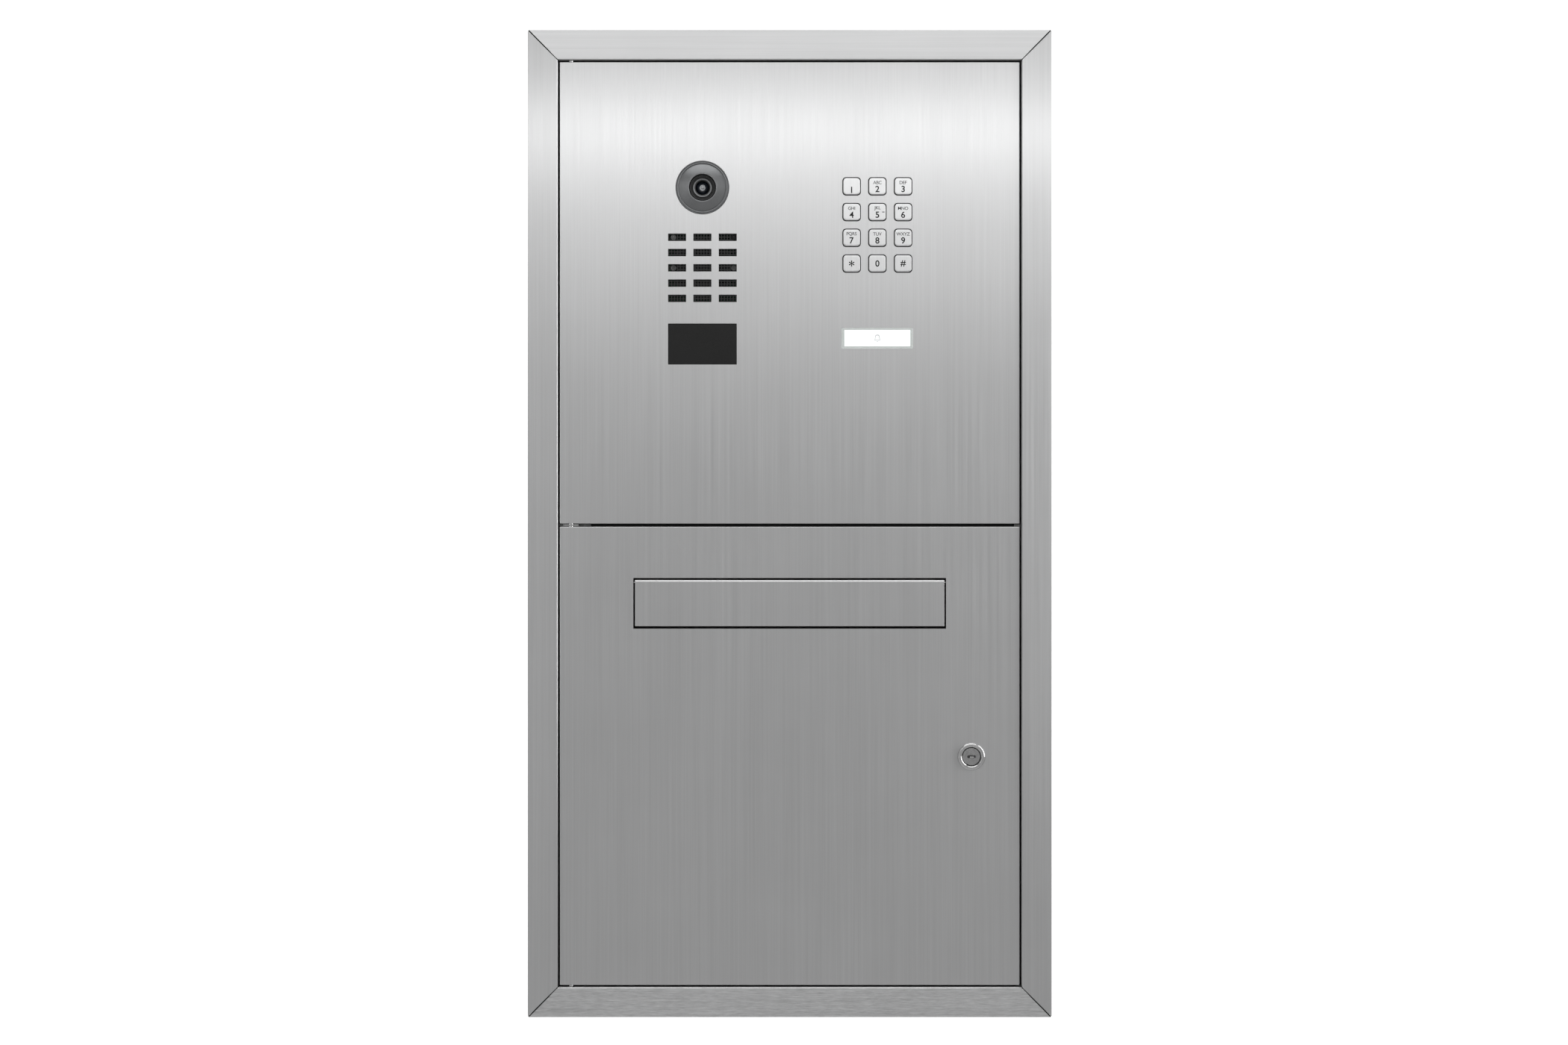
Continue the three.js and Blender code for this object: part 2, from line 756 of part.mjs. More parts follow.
const button = addGroup(intercom, KEYPAD_X, BUTTON_Z);
const pocketClearance = 0.6;
addPart(
  button,
  'call_button_cap',
  cut(
    joined(
      slab(
        roundedRectangle(BUTTON_W, BUTTON_H, 0.8, 0, 0, 1),
        [BUTTON_FRONT_Y, flangeFront + 0.5],
        [],
        0.3,
      ),
      plate(BUTTON_W + 4.3, BUTTON_H + 3.9, [flangeFront, flangeFront + 1.5]),
    ),
    plate(LABEL_W + pocketClearance, LABEL_H + pocketClearance, [BUTTON_FRONT_Y + 0.7, 2]),
  ),
  'clearPlastic',
);
addPart(
  button,
  'call_button_label',
  plate(LABEL_W, LABEL_H, [BUTTON_FRONT_Y + 1, BUTTON_FRONT_Y + 1.8]),
  'whiteLabel',
);
addPart(button, 'button_housing', openHousing(66, 26, [flangeFront, 12], 1.5), 'blackPlastic');
const lightBoardY = flangeFront + 1.5 + BUTTON_TRAVEL + 3;
addPart(button, 'button_light_board', plate(56, 16, [lightBoardY, lightBoardY + 1.6]), 'board');

// ---------------------------------------------------------------- letter flap

function letterFlap() {
  const bendY = TRAY_FRONT_Y + FLAP_BEND_R;
  const bendZ = FLAP_Z[1] - FLAP_BEND_R;
  const faceAndBend = extrusionAlongX([
    [TRAY_FRONT_Y, FLAP_Z[0]],
    [TRAY_BACK_Y, FLAP_Z[0]],
    ...arc(bendY, bendZ, FLAP_BEND_R - SHEET, 180, 90, 2),
    [bendY + 1, FLAP_Z[1] - SHEET],
    [bendY + 1, FLAP_Z[1]],
    ...arc(bendY, bendZ, FLAP_BEND_R, 90, 180, 4),
  ], [-FLAP_HALF_W, FLAP_HALF_W]);
  const flange = block(
    [-FLAP_HEM_HALF_W, FLAP_HEM_HALF_W],
    [bendY + 0.5, FLAP_AXIS_Y],
    [FLAP_Z[1] - SHEET, FLAP_Z[1]],
  );
  const hem = rod('x', FLAP_HEM_R, [-FLAP_HEM_HALF_W, FLAP_HEM_HALF_W])
    .translate(0, FLAP_AXIS_Y, FLAP_AXIS_Z);
  const bore = rod('x', ROD_R + 0.4, [-FLAP_HALF_W, FLAP_HALF_W])
    .translate(0, FLAP_AXIS_Y, FLAP_AXIS_Z);
  return cut(joined(faceAndBend, flange, hem), bore);
}

/** Four-sided sheet frame behind the flap that guides letters and carries the hinge rod. */
function letterChute() {
  const width = 2 * (FLAP_HOLE_HALF_W + CHUTE_CLEARANCE);
  const height = FLAP_HOLE_Z[1] - FLAP_HOLE_Z[0] + 2 * CHUTE_CLEARANCE;
  const middle = (FLAP_HOLE_Z[0] + FLAP_HOLE_Z[1]) / 2;
  const frame = slab(
    rectangle(width + 2 * SHEET, height + 2 * SHEET, 0, middle),
    [TRAY_BACK_Y + GAP, CHUTE_BACK_Y],
    [rectangle(width, height, 0, middle)],
  );
  const rodHoles = rod('x', ROD_R + 0.4, [-width, width]).translate(0, FLAP_AXIS_Y, FLAP_AXIS_Z);
  return cut(frame, rodHoles);
}

/** Torsion spring round the rod, beside the flap's hem. */
function flapSpring() {
  const coilR = 2.6;
  const wireR = 0.35;
  const turns = 5;
  const start = FLAP_HEM_HALF_W + 1.5;
  const end = FLAP_HALF_W - 0.8;
  const stepsPerTurn = 12;
  const points = [];
  for (let i = 0; i <= turns * stepsPerTurn; i += 1) {
    const angle = 2 * Math.PI * i / stepsPerTurn;
    points.push(new THREE.Vector3(
      start + (end - start) * i / (turns * stepsPerTurn),
      FLAP_AXIS_Y + coilR * Math.cos(angle),
      FLAP_AXIS_Z + coilR * Math.sin(angle),
    ));
  }
  return new THREE.ExtrudeGeometry(outline(arc(0, 0, wireR, 0, 300, 5)), {
    steps: turns * stepsPerTurn,
    extrudePath: new THREE.CatmullRomCurve3(points),
    bevelEnabled: false,
  });
}

const chuteHalfW = FLAP_HOLE_HALF_W + CHUTE_CLEARANCE + SHEET;
addPart(intercom, 'letter_flap', letterFlap(), 'brushedSteel');
addPart(intercom, 'letter_chute', letterChute(), 'plainSteel');
addPart(
  intercom,
  'flap_rod',
  rod('x', ROD_R, [-chuteHalfW - 2, chuteHalfW + 2], 12).translate(0, FLAP_AXIS_Y, FLAP_AXIS_Z),
  'chrome',
);
addPart(intercom, 'flap_spring', flapSpring(), 'chrome');

// ---------------------------------------------------------------- cam lock

const lock = addGroup(intercom, LOCK_X, LOCK_Z);
const lockBodyProfile = [
  [PLUG_R + GAP, 14],
  [LOCK_BARREL_R, 14],
  [LOCK_BARREL_R, TRAY_FRONT_Y - 0.1],
  [LOCK_HEAD_R, TRAY_FRONT_Y - 0.1],
  ...arc(LOCK_HEAD_R - 1.6, -4.6, 1.6, 0, -90, 3),
  [PLUG_R + 1, -6.2],
  [PLUG_R + GAP, -5.6],
];

function lockPlug() {
  const core = rod('y', PLUG_R, [-5.3, 15], 24);
  const shank = plate(8, 8, [14, 18.2]);
  const keyway = plate(6, 1.6, [-7, 8]);
  return cut(joined(core, shank), keyway);
}

function lockCam() {
  const arm = [
    ...arc(0, 0, CAM_HALF_W + 1, -30, 210, 8),
    [-CAM_HALF_W, -CAM_REACH + 2],
    [-CAM_HALF_W + 2, -CAM_REACH],
    [CAM_HALF_W - 2, -CAM_REACH],
    [CAM_HALF_W, -CAM_REACH + 2],
  ];
  return slab(arm, CAM_Y, [rectangle(8.6, 8.6)]);
}

addPart(lock, 'lock_body', turned(lockBodyProfile, 32), 'chrome');
addPart(
  lock,
  'lock_nut',
  slab(
    arc(0, 0, 13.5, 0, 300, 5),
    [TRAY_BACK_Y + 0.1, TRAY_BACK_Y + 4],
    [arc(0, 0, LOCK_HOLE_R, 0, 345, 23)],
  ),
  'zincPlate',
);
addPart(lock, 'lock_plug', lockPlug(), 'chrome');
addPart(lock, 'lock_cam', lockCam(), 'zincPlate');

export default intercom;
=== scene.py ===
"""The looks of a flush-mounted door station: brushed steel trim and trays, keypad, camera, lock.

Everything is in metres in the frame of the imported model: the wall's face is the plane y = 0, the
street is on the -y side, +x is right and +z is up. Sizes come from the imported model's own boxes.
"""
import json
import math

import bmesh
import bpy
from mathutils import Matrix, Vector


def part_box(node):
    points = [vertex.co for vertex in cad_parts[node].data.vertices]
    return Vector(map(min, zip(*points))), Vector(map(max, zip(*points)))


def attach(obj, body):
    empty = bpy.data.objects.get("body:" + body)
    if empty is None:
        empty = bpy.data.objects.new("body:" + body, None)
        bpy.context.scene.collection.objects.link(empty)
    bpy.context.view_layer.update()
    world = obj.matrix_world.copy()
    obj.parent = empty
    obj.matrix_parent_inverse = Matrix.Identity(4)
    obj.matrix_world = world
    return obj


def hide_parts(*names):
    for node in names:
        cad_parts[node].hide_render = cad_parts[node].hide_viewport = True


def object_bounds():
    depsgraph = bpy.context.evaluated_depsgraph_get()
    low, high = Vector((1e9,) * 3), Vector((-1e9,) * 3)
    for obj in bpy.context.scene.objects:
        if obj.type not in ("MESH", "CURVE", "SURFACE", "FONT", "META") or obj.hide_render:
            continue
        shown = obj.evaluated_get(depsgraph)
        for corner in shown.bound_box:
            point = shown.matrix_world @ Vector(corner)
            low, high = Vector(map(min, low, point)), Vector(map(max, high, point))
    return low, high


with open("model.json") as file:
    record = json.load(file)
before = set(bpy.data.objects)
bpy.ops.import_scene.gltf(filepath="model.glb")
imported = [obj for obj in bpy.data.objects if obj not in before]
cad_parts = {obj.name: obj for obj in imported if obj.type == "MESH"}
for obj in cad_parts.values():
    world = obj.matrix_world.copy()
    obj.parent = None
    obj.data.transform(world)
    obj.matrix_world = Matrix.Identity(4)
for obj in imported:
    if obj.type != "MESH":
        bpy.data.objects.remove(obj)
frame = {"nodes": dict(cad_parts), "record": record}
cad_low, cad_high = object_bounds()

MM = 0.001
SHEET = 1.5 * MM

# ---- places taken from the frame


def centre(node):
    """Middle of a CAD node's box."""
    low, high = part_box(node)
    return (low + high) / 2


def size(node):
    """Size of a CAD node's box."""
    low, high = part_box(node)
    return high - low


# ---- material helpers


class Nodes:
    """A material's node tree with short calls for the nodes used here."""

    def __init__(self, name):
        self.material = bpy.data.materials.new(name)
        self.material.use_nodes = True
        self.tree = self.material.node_tree
        self.shader = self.tree.nodes["Principled BSDF"]

    def add(self, kind, inputs=None, **settings):
        """A new node with its settings and the values of its inputs."""
        node = self.tree.nodes.new(kind)
        for key, value in settings.items():
            setattr(node, key, value)
        for key, value in (inputs or {}).items():
            node.inputs[key].default_value = value
        return node

    def link(self, source, target):
        self.tree.links.new(source, target)

    def set(self, **values):
        """Sets shader sockets: base_color=... becomes the socket "Base Color"."""
        for key, value in values.items():
            socket = self.shader.inputs[key.replace("_", " ").title().replace("Ior", "IOR")]
            if key.endswith("color"):
                value = (*value, 1.0)
            socket.default_value = value

    def coordinates(self, scale=(1, 1, 1), turn=(0, 0, 0)):
        """The row frame's own coordinates, scaled: they stay fixed to a piece when it moves."""
        source = self.add("ShaderNodeTexCoord")
        mapping = self.add("ShaderNodeMapping", {"Scale": scale, "Rotation": turn})
        self.link(source.outputs["Object"], mapping.inputs["Vector"])
        return mapping.outputs["Vector"]

    def noise(self, vector, scale, detail=2.0, roughness=0.5):
        values = {"Scale": scale, "Detail": detail, "Roughness": roughness}
        node = self.add("ShaderNodeTexNoise", values)
        self.link(vector, node.inputs["Vector"])
        return node.outputs["Fac"]

    def spread(self, value, low, high, start=0.3, end=0.7):
        """Maps start..end of a value onto low..high."""
        values = {"From Min": start, "From Max": end, "To Min": low, "To Max": high}
        node = self.add("ShaderNodeMapRange", values)
        self.link(value, node.inputs["Value"])
        return node.outputs["Result"]

    def tint(self, value, dark, light, start=0.3, end=0.7):
        """A colour between two colours, by a value."""
        node = self.add("ShaderNodeValToRGB")
        ramp = node.color_ramp
        ramp.elements[0].position = start
        ramp.elements[0].color = (*dark, 1.0)
        ramp.elements[1].position = end
        ramp.elements[1].color = (*light, 1.0)
        self.link(value, node.inputs["Fac"])
        return node.outputs["Color"]

    def blend(self, first, second, share=0.5):
        """Average of two numbers."""
        node = self.add("ShaderNodeMix", {"Factor": share}, data_type="FLOAT")
        self.link(first, node.inputs["A"])
        self.link(second, node.inputs["B"])
        return node.outputs["Result"]

    def bump(self, height, strength, distance):
        node = self.add("ShaderNodeBump", {"Strength": strength, "Distance": distance})
        self.link(height, node.inputs["Height"])
        return node.outputs["Normal"]

    def use(self, **sources):
        """Links node outputs to shader sockets, named as in set()."""
        for key, source in sources.items():
            self.link(source, self.shader.inputs[key.replace("_", " ").title()])


STEEL_WARMTH = -0.004
ZINC_WARMTH = -0.02


def grey(level, warm=0.0):
    """A neutral colour, a touch warmer (+) or cooler (-)."""
    return (level * (1 + warm), level, level * (1 - warm))


# ---- materials


def brushed_steel(name, grain, level=0.62, roughness=0.33, anisotropy=0.75, flecks=0.0):
    """Brushed stainless steel. grain is "z" or "x", the direction of the brushing.

    flecks adds short scratches of a coarser belt along the grain.
    """
    m = Nodes(name)
    along, across = 7.0, 1300.0
    fine = (across, across, along) if grain == "z" else (along, across, across)
    broad = tuple(value / 3 for value in fine)
    fine_lines = m.noise(m.coordinates(fine), 1.0, detail=3.0, roughness=0.6)
    broad_lines = m.noise(m.coordinates(broad), 1.0, detail=2.0)
    lines = m.blend(fine_lines, broad_lines, 0.35)
    clouds = m.noise(m.coordinates(), 14.0, detail=2.0)
    shade = m.blend(lines, clouds, 0.22)
    contrast = 0.07
    if flecks:
        short = (1100.0, 1100.0, 110.0) if grain == "z" else (110.0, 1100.0, 1100.0)
        scratches = m.noise(m.coordinates(short), 1.0, detail=3.0, roughness=0.7)
        shade = m.blend(shade, scratches, 0.6)
        contrast = flecks
    m.use(
        base_color=m.tint(
            shade,
            grey(level * (1 - contrast), STEEL_WARMTH),
            grey(level * (1 + contrast), STEEL_WARMTH),
        ),
        roughness=m.spread(lines, roughness - 0.035, roughness + 0.035),
        normal=m.bump(fine_lines, 0.10, 0.02 * MM),
    )
    tangent = m.add("ShaderNodeTangent", direction_type="RADIAL", axis="Z" if grain == "z" else "X")
    m.link(tangent.outputs["Tangent"], m.shader.inputs["Tangent"])
    m.set(metallic=1.0, anisotropic=anisotropy)
    return m.material


def mill_sheet(name, level=0.45, roughness=0.42):
    """Plain rolled sheet with faint cloudy stains."""
    m = Nodes(name)
    clouds = m.noise(m.coordinates((1, 1, 0.35)), 22.0, detail=5.0, roughness=0.6)
    specks = m.noise(m.coordinates(), 900.0, detail=2.0)
    m.use(
        base_color=m.tint(clouds, grey(level * 0.88), grey(level * 1.08)),
        roughness=m.spread(m.blend(clouds, specks), roughness - 0.07, roughness + 0.07),
        normal=m.bump(specks, 0.12, 0.02 * MM),
    )
    m.set(metallic=1.0)
    return m.material


def plated(name, level, roughness, warm=ZINC_WARMTH):
    """Zinc or nickel plating: a fine crystalline sparkle over a smooth metal."""
    m = Nodes(name)
    crystals = m.noise(m.coordinates(), 450.0, detail=3.0)
    clouds = m.noise(m.coordinates(), 60.0, detail=3.0)
    m.use(
        base_color=m.tint(
            m.blend(crystals, clouds), grey(level * 0.9, warm), grey(level * 1.06, warm),
        ),
        roughness=m.spread(crystals, roughness * 0.75, roughness * 1.25),
        normal=m.bump(crystals, 0.06, 0.02 * MM),
    )
    m.set(metallic=1.0)
    return m.material


def moulded(name, level, roughness, grain=1500.0, relief=0.25, hue=(1, 1, 1), specular=0.5):
    """Moulded plastic or rubber with a fine spark-eroded texture."""
    m = Nodes(name)
    texture = m.noise(m.coordinates(), grain, detail=3.0, roughness=0.6)
    clouds = m.noise(m.coordinates(), 45.0, detail=2.0)
    m.use(
        base_color=m.tint(
            m.blend(texture, clouds, 0.6),
            [level * 0.88 * share for share in hue],
            [level * 1.12 * share for share in hue],
        ),
        roughness=m.spread(texture, roughness - 0.05, roughness + 0.05),
        normal=m.bump(texture, relief, 0.03 * MM),
    )
    m.shader.inputs["Specular IOR Level"].default_value = specular
    return m.material


def satin_paint(name, level, roughness):
    """Metallic satin paint: fine flakes under a faint clear coat."""
    m = Nodes(name)
    flakes = m.noise(m.coordinates(), 3500.0, detail=2.0)
    clouds = m.noise(m.coordinates(), 120.0, detail=2.0)
    m.use(
        base_color=m.tint(
            m.blend(flakes, clouds, 0.4), grey(level * 0.9, -0.02), grey(level * 1.1, -0.02),
        ),
        roughness=m.spread(flakes, roughness - 0.04, roughness + 0.04),
        normal=m.bump(flakes, 0.04, 0.02 * MM),
    )
    m.set(metallic=0.9)
    return m.material


def circuit_board(name):
    """Green solder mask with faint copper tracks under it."""
    m = Nodes(name)
    tracks = m.add("ShaderNodeTexBrick", {
        "Scale": 160.0,
        "Mortar Size": 0.03,
        "Color1": (0.006, 0.075, 0.03, 1),
        "Color2": (0.008, 0.09, 0.036, 1),
        "Mortar": (0.02, 0.15, 0.06, 1),
    })
    m.link(m.coordinates(turn=(math.pi / 2, 0, 0)), tracks.inputs["Vector"])
    m.link(tracks.outputs["Color"], m.shader.inputs["Base Color"])
    m.use(
        roughness=m.spread(m.noise(m.coordinates(), 400.0), 0.28, 0.4),
        normal=m.bump(tracks.outputs["Fac"], 0.2, 0.03 * MM),
    )
    return m.material


def lens_glass(name):
    """Dark coated glass with a faint bluish bloom."""
    m = Nodes(name)
    bloom = m.noise(m.coordinates(), 90.0)
    m.use(
        base_color=m.tint(bloom, (0.008, 0.010, 0.014), (0.016, 0.020, 0.030)),
        roughness=m.spread(bloom, 0.03, 0.07),
    )
    m.set(coat_weight=1.0, coat_roughness=0.03)
    return m.material


def clear_plastic(name, glow):
    """Clear acrylic with faint moulding haze, and a painted glow standing in for the label's light
    in its edges.
    """
    m = Nodes(name)
    haze = m.noise(m.coordinates(), 300.0)
    m.use(
        base_color=m.tint(haze, grey(0.90, -0.01), grey(0.97, -0.01)),
        roughness=m.spread(haze, 0.06, 0.12),
    )
    m.set(transmission_weight=0.85, ior=1.49, emission_color=(1, 1, 1), emission_strength=glow)
    return m.material


def lit_label(name, strength):
    """White label lit from behind, a little uneven."""
    m = Nodes(name)
    patches = m.noise(m.coordinates(), 70.0)
    m.use(
        base_color=m.tint(patches, grey(0.86), grey(0.94)),
        roughness=m.spread(patches, 0.4, 0.5),
        emission_color=m.tint(patches, grey(0.94), grey(1.0)),
    )
    m.set(emission_strength=strength)
    return m.material


def ink(name, level):
    """Paint in an engraving or print, slightly uneven."""
    m = Nodes(name)
    uneven = m.noise(m.coordinates(), 1200.0)
    m.use(
        base_color=m.tint(uneven, grey(level * 0.8), grey(level * 1.2)),
        roughness=m.spread(uneven, 0.5, 0.65),
    )
    m.shader.inputs["Specular IOR Level"].default_value = 0.1
    return m.material


MATERIALS = {
    "brushed_steel_vertical": brushed_steel("brushed_vertical", "z"),
    "brushed_steel_horizontal": brushed_steel("brushed_horizontal", "x"),
    "sheet_steel": mill_sheet("mill_sheet"),
    "zinc_plate": plated("zinc_plate", 0.55, 0.36),
    "steel_pin": plated("bright_steel", 0.62, 0.2, 0.0),
    "lock_chrome": plated("lock_chrome", 0.6, 0.12, 0.0),
    "key_metal": brushed_steel("key_metal", "z", level=0.72, roughness=0.32, anisotropy=0.6),
    "bezel_grey": satin_paint("bezel_grey", 0.20, 0.32),
    "black_plastic": moulded("black_plastic", 0.022, 0.5),
    "black_gloss": moulded("black_window", 0.010, 0.3, grain=3000.0, relief=0.02, specular=0.25),
    "microphone_grey": moulded("microphone_grey", 0.06, 0.45),
    "dark_mesh": plated("dark_mesh", 0.05, 0.5, 0.0),
    "lens_glass": lens_glass("lens_glass"),
    "led_lens": moulded("led_lens", 0.08, 0.25, relief=0.02),
    "circuit_board": circuit_board("circuit_board"),
    "silicone_rubber": moulded("silicone_rubber", 0.05, 0.6),
    # the cap's glow is painted light: emission standing in for the label's light carried into the
    # cap
    "clear_plastic": clear_plastic("clear_plastic", 0.17),
    "lit_label": lit_label("lit_label", 0.5),
}
# black ink of the key engravings, also used as painted shade in the trim's mitres
ENGRAVING_AND_SHADE_INK = ink("engraving_and_shade_paint", 0.02)
PRINT = ink("label_print", 0.06)
MOTTLED_STEEL = brushed_steel("brushed_mottled", "x", flecks=0.3)
PLUG_METAL = plated("plug_metal", 0.45, 0.24, 0.0)
TERMINAL_GREEN = moulded("terminal_green", 0.16, 0.4, hue=(0.1, 1.0, 0.35))
INNER_LENS = plated("inner_lens", 0.30, 0.25, -0.03)

# ---- pieces


def keep_flats_flat(piece):
    """Lets large faces decide the shading, so that sheet looks flat up to its rounded edges."""
    weighted = piece.modifiers.new("Weighted", "WEIGHTED_NORMAL")
    weighted.keep_sharp = True
    weighted.weight = 100


def add_piece(name, mesh, body, slot, replaces=(), material=None):
    """Makes an object of a mesh, gives it its finish and lets it ride on a body."""
    piece = bpy.data.objects.new(name, mesh)
    bpy.context.scene.collection.objects.link(piece)
    mesh.materials.clear()
    mesh.materials.append(material or MATERIALS[slot])
    keep_flats_flat(piece)
    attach(piece, body)
    if replaces:
        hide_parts(*replaces)
    return piece


def body_of(node):
    """The body that a CAD node belongs to."""
    for body, members in frame["record"]["behaviour"]["bodies"].items():
        if node in members:
            return body
    raise KeyError(node)


def slot_of(node):
    """The material slot that the record gives a CAD node."""
    for entry in frame["record"]["subparts"]:
        if entry["node"] == node:
            return entry["material_slot"]
    raise KeyError(node)


FLAT_COSINE = 0.99999             # faces that turn less than this from the wall's plane are flat
ON_AXIS = 1e-7                    # a turned profile's radius below this is a single point


def shade_smooth(mesh, angle=35):
    """Smooth shading, sharp at real edges and flat on faces that lie in the wall's plane."""
    mesh.shade_smooth()
    mesh.set_sharp_from_angle(angle=math.radians(angle))
    for face in mesh.polygons:
        if abs(face.normal.y) > FLAT_COSINE:
            face.use_smooth = False


def mesh_from(bm, name, smooth=True):
    bmesh.ops.recalc_face_normals(bm, faces=bm.faces)
    mesh = bpy.data.meshes.new(name)
    bm.to_mesh(mesh)
    bm.free()
    if smooth:
        shade_smooth(mesh)
    return mesh


def evaluated_mesh(name, data, *modifiers):
    """The mesh of a curve, text or mesh with modifiers applied. Each is (type, settings)."""
    temporary = bpy.data.objects.new(name, data)
    bpy.context.scene.collection.objects.link(temporary)
    for kind, settings in modifiers:
        modifier = temporary.modifiers.new(kind.title(), kind)
        for key, value in settings.items():
            setattr(modifier, key, value)
    evaluated = temporary.evaluated_get(bpy.context.evaluated_depsgraph_get())
    mesh = bpy.data.meshes.new_from_object(evaluated)
    mesh.name = name
    bpy.data.objects.remove(temporary)
    return mesh


def rounded_copy(node, width, segments=3):
    """A copy of a CAD node with its triangles merged and its sharp edges rounded."""
    bm = bmesh.new()
    bm.from_mesh(frame["nodes"][node].data)
    bmesh.ops.remove_doubles(bm, verts=bm.verts, dist=0.002 * MM)
    bmesh.ops.dissolve_limit(bm, angle_limit=math.radians(0.5), verts=bm.verts, edges=bm.edges)
    mesh = mesh_from(bm, node + "_rounded", smooth=False)
    bevel = {
        "width": width,
        "segments": segments,
        "limit_method": "ANGLE",
        "angle_limit": math.radians(40),
        "harden_normals": True,
    }
    mesh.shade_smooth()
    mesh = evaluated_mesh(node + "_rounded", mesh, ("BEVEL", bevel))
    return add_piece(node + "_rounded", mesh, body_of(node), slot_of(node), [node])


def ring_points(half_width, half_height, corner, steps):
    """Points of a rectangle with round corners, anticlockwise, as (x, z)."""
    points = []
    for sx, sz, start in ((1, 1, 0), (-1, 1, 90), (-1, -1, 180), (1, -1, 270)):
        cx = sx * (half_width - corner)
        cz = sz * (half_height - corner)
        for i in range(steps + 1):
            angle = math.radians(start + 90 * i / steps)
            points.append((cx + corner * math.cos(angle), cz + corner * math.sin(angle)))
    return points


def stacked(place, sections, steps):
    """Rings about a place of sections (half width, half height, corner, y)."""
    return [
        [(x, y, z) for x, z in rectangle(place, half_w, half_h, corner, steps)]
        for half_w, half_h, corner, y in sections
    ]


def circle_points(radius, steps=96):
    return [
        (radius * math.cos(2 * math.pi * i / steps), radius * math.sin(2 * math.pi * i / steps))
        for i in range(steps)
    ]


def shifted(points, x, z):
    return [(px + x, pz + z) for px, pz in points]


def rectangle(middle, half_width, half_height, corner, steps):
    """Outline of a rectangle with round corners about a place."""
    return shifted(ring_points(half_width, half_height, corner, steps), middle.x, middle.z)


def skin(bm, rings):
    """Faces between neighbouring rings of (x, y, z) points. Returns the rings' vertices."""
    rows = [[bm.verts.new(point) for point in ring] for ring in rings]
    count = len(rows[0])
    for near, far in zip(rows, rows[1:]):
        for i in range(count):
            j = (i + 1) % count
            bm.faces.new((near[i], near[j], far[j], far[i]))
    return rows


def loft(name, rings):
    """A closed skin through rings of points, with flat ends."""
    bm = bmesh.new()
    rows = skin(bm, rings)
    bm.faces.new(rows[0])
    bm.faces.new(list(reversed(rows[-1])))
    return mesh_from(bm, name)


def turned(name, profile, place, steps=96):
    """A closed (radius, along) profile turned about the y direction through a place."""
    bm = bmesh.new()
    rows = []
    for r, along in profile:
        if r < ON_AXIS:
            rows.append([bm.verts.new((0, along, 0))])
        else:
            rows.append([bm.verts.new((x, along, z)) for x, z in circle_points(r, steps)])
    closed = rows + [rows[0]] if profile[0][0] > ON_AXIS else rows
    for near, far in zip(closed, closed[1:]):
        for i in range(steps):
            j = (i + 1) % steps
            corners = [
                near[i % len(near)], near[j % len(near)], far[j % len(far)], far[i % len(far)],
            ]
            unique = list(dict.fromkeys(corners))
            if len(unique) > 2:
                bm.faces.new(unique)
    mesh = mesh_from(bm, name)
    mesh.transform(Matrix.Translation(place))
    return mesh


def sheet_from(name, outlines, front, back, edge, turn=None):
    """A flat plate with holes. The first outline is its edge and the others are holes.

    The outlines are (x, z) points, and front and back are its y. Every edge is rounded by edge.
    turn is a matrix that is applied at the end.
    """
    curve = bpy.data.curves.new(name, "CURVE")
    curve.dimensions = "2D"
    curve.fill_mode = "BOTH"
    curve.extrude = (back - front) / 2 - edge
    curve.bevel_depth = edge
    curve.bevel_resolution = 2
    curve.offset = -edge
    for outline in outlines:
        spline = curve.splines.new("POLY")
        spline.points.add(len(outline) - 1)
        for point, (x, z) in zip(spline.points, outline):
            point.co = (x, z, 0, 1)
        spline.use_cyclic_u = True
    mesh = evaluated_mesh(name, curve)
    bpy.data.curves.remove(curve)
    # the curve lies in x and y: turn it up, so that its y becomes z and its depth becomes -y
    mesh.transform(Matrix.Rotation(math.pi / 2, 4, "X"))
    mesh.transform(Matrix.Translation((0, (front + back) / 2, 0)))
    if turn is not None:
        mesh.transform(turn)
    bm = bmesh.new()
    bm.from_mesh(mesh)
    bmesh.ops.remove_doubles(bm, verts=bm.verts, dist=0.001 * MM)
    bpy.data.meshes.remove(mesh)
    return mesh_from(bm, name)


def joined(name, *meshes):
    """Several meshes as one."""
    bm = bmesh.new()
    for mesh in meshes:
        bm.from_mesh(mesh)
        bpy.data.meshes.remove(mesh)
    mesh = bpy.data.meshes.new(name)
    bm.to_mesh(mesh)
    bm.free()
    shade_smooth(mesh)
    return mesh


# ---- trim frame

for side in ("top", "bottom", "left", "right"):
    member = rounded_copy("trim_" + side, 0.12 * MM, 2)
    if side == "bottom":
        member.data.materials[0] = MOTTLED_STEEL

MITRE_SHADE_HALF = 0.45 * MM
MITRE_SHADE_PROUD = 0.05 * MM
MITRE_SHADE_DEPTH = 1.6 * MM
MITRE_INNER = Vector((180.4, 360.4)) * MM      # where a mitre starts at the opening, in x and z
MITRE_OUTER_INSET = 0.4 * MM
TRIM_SLOPE = 2.5 / 23.5                        # the sheet falls back this much on its way out
TRIM_SLOPE_FROM = 180 * MM


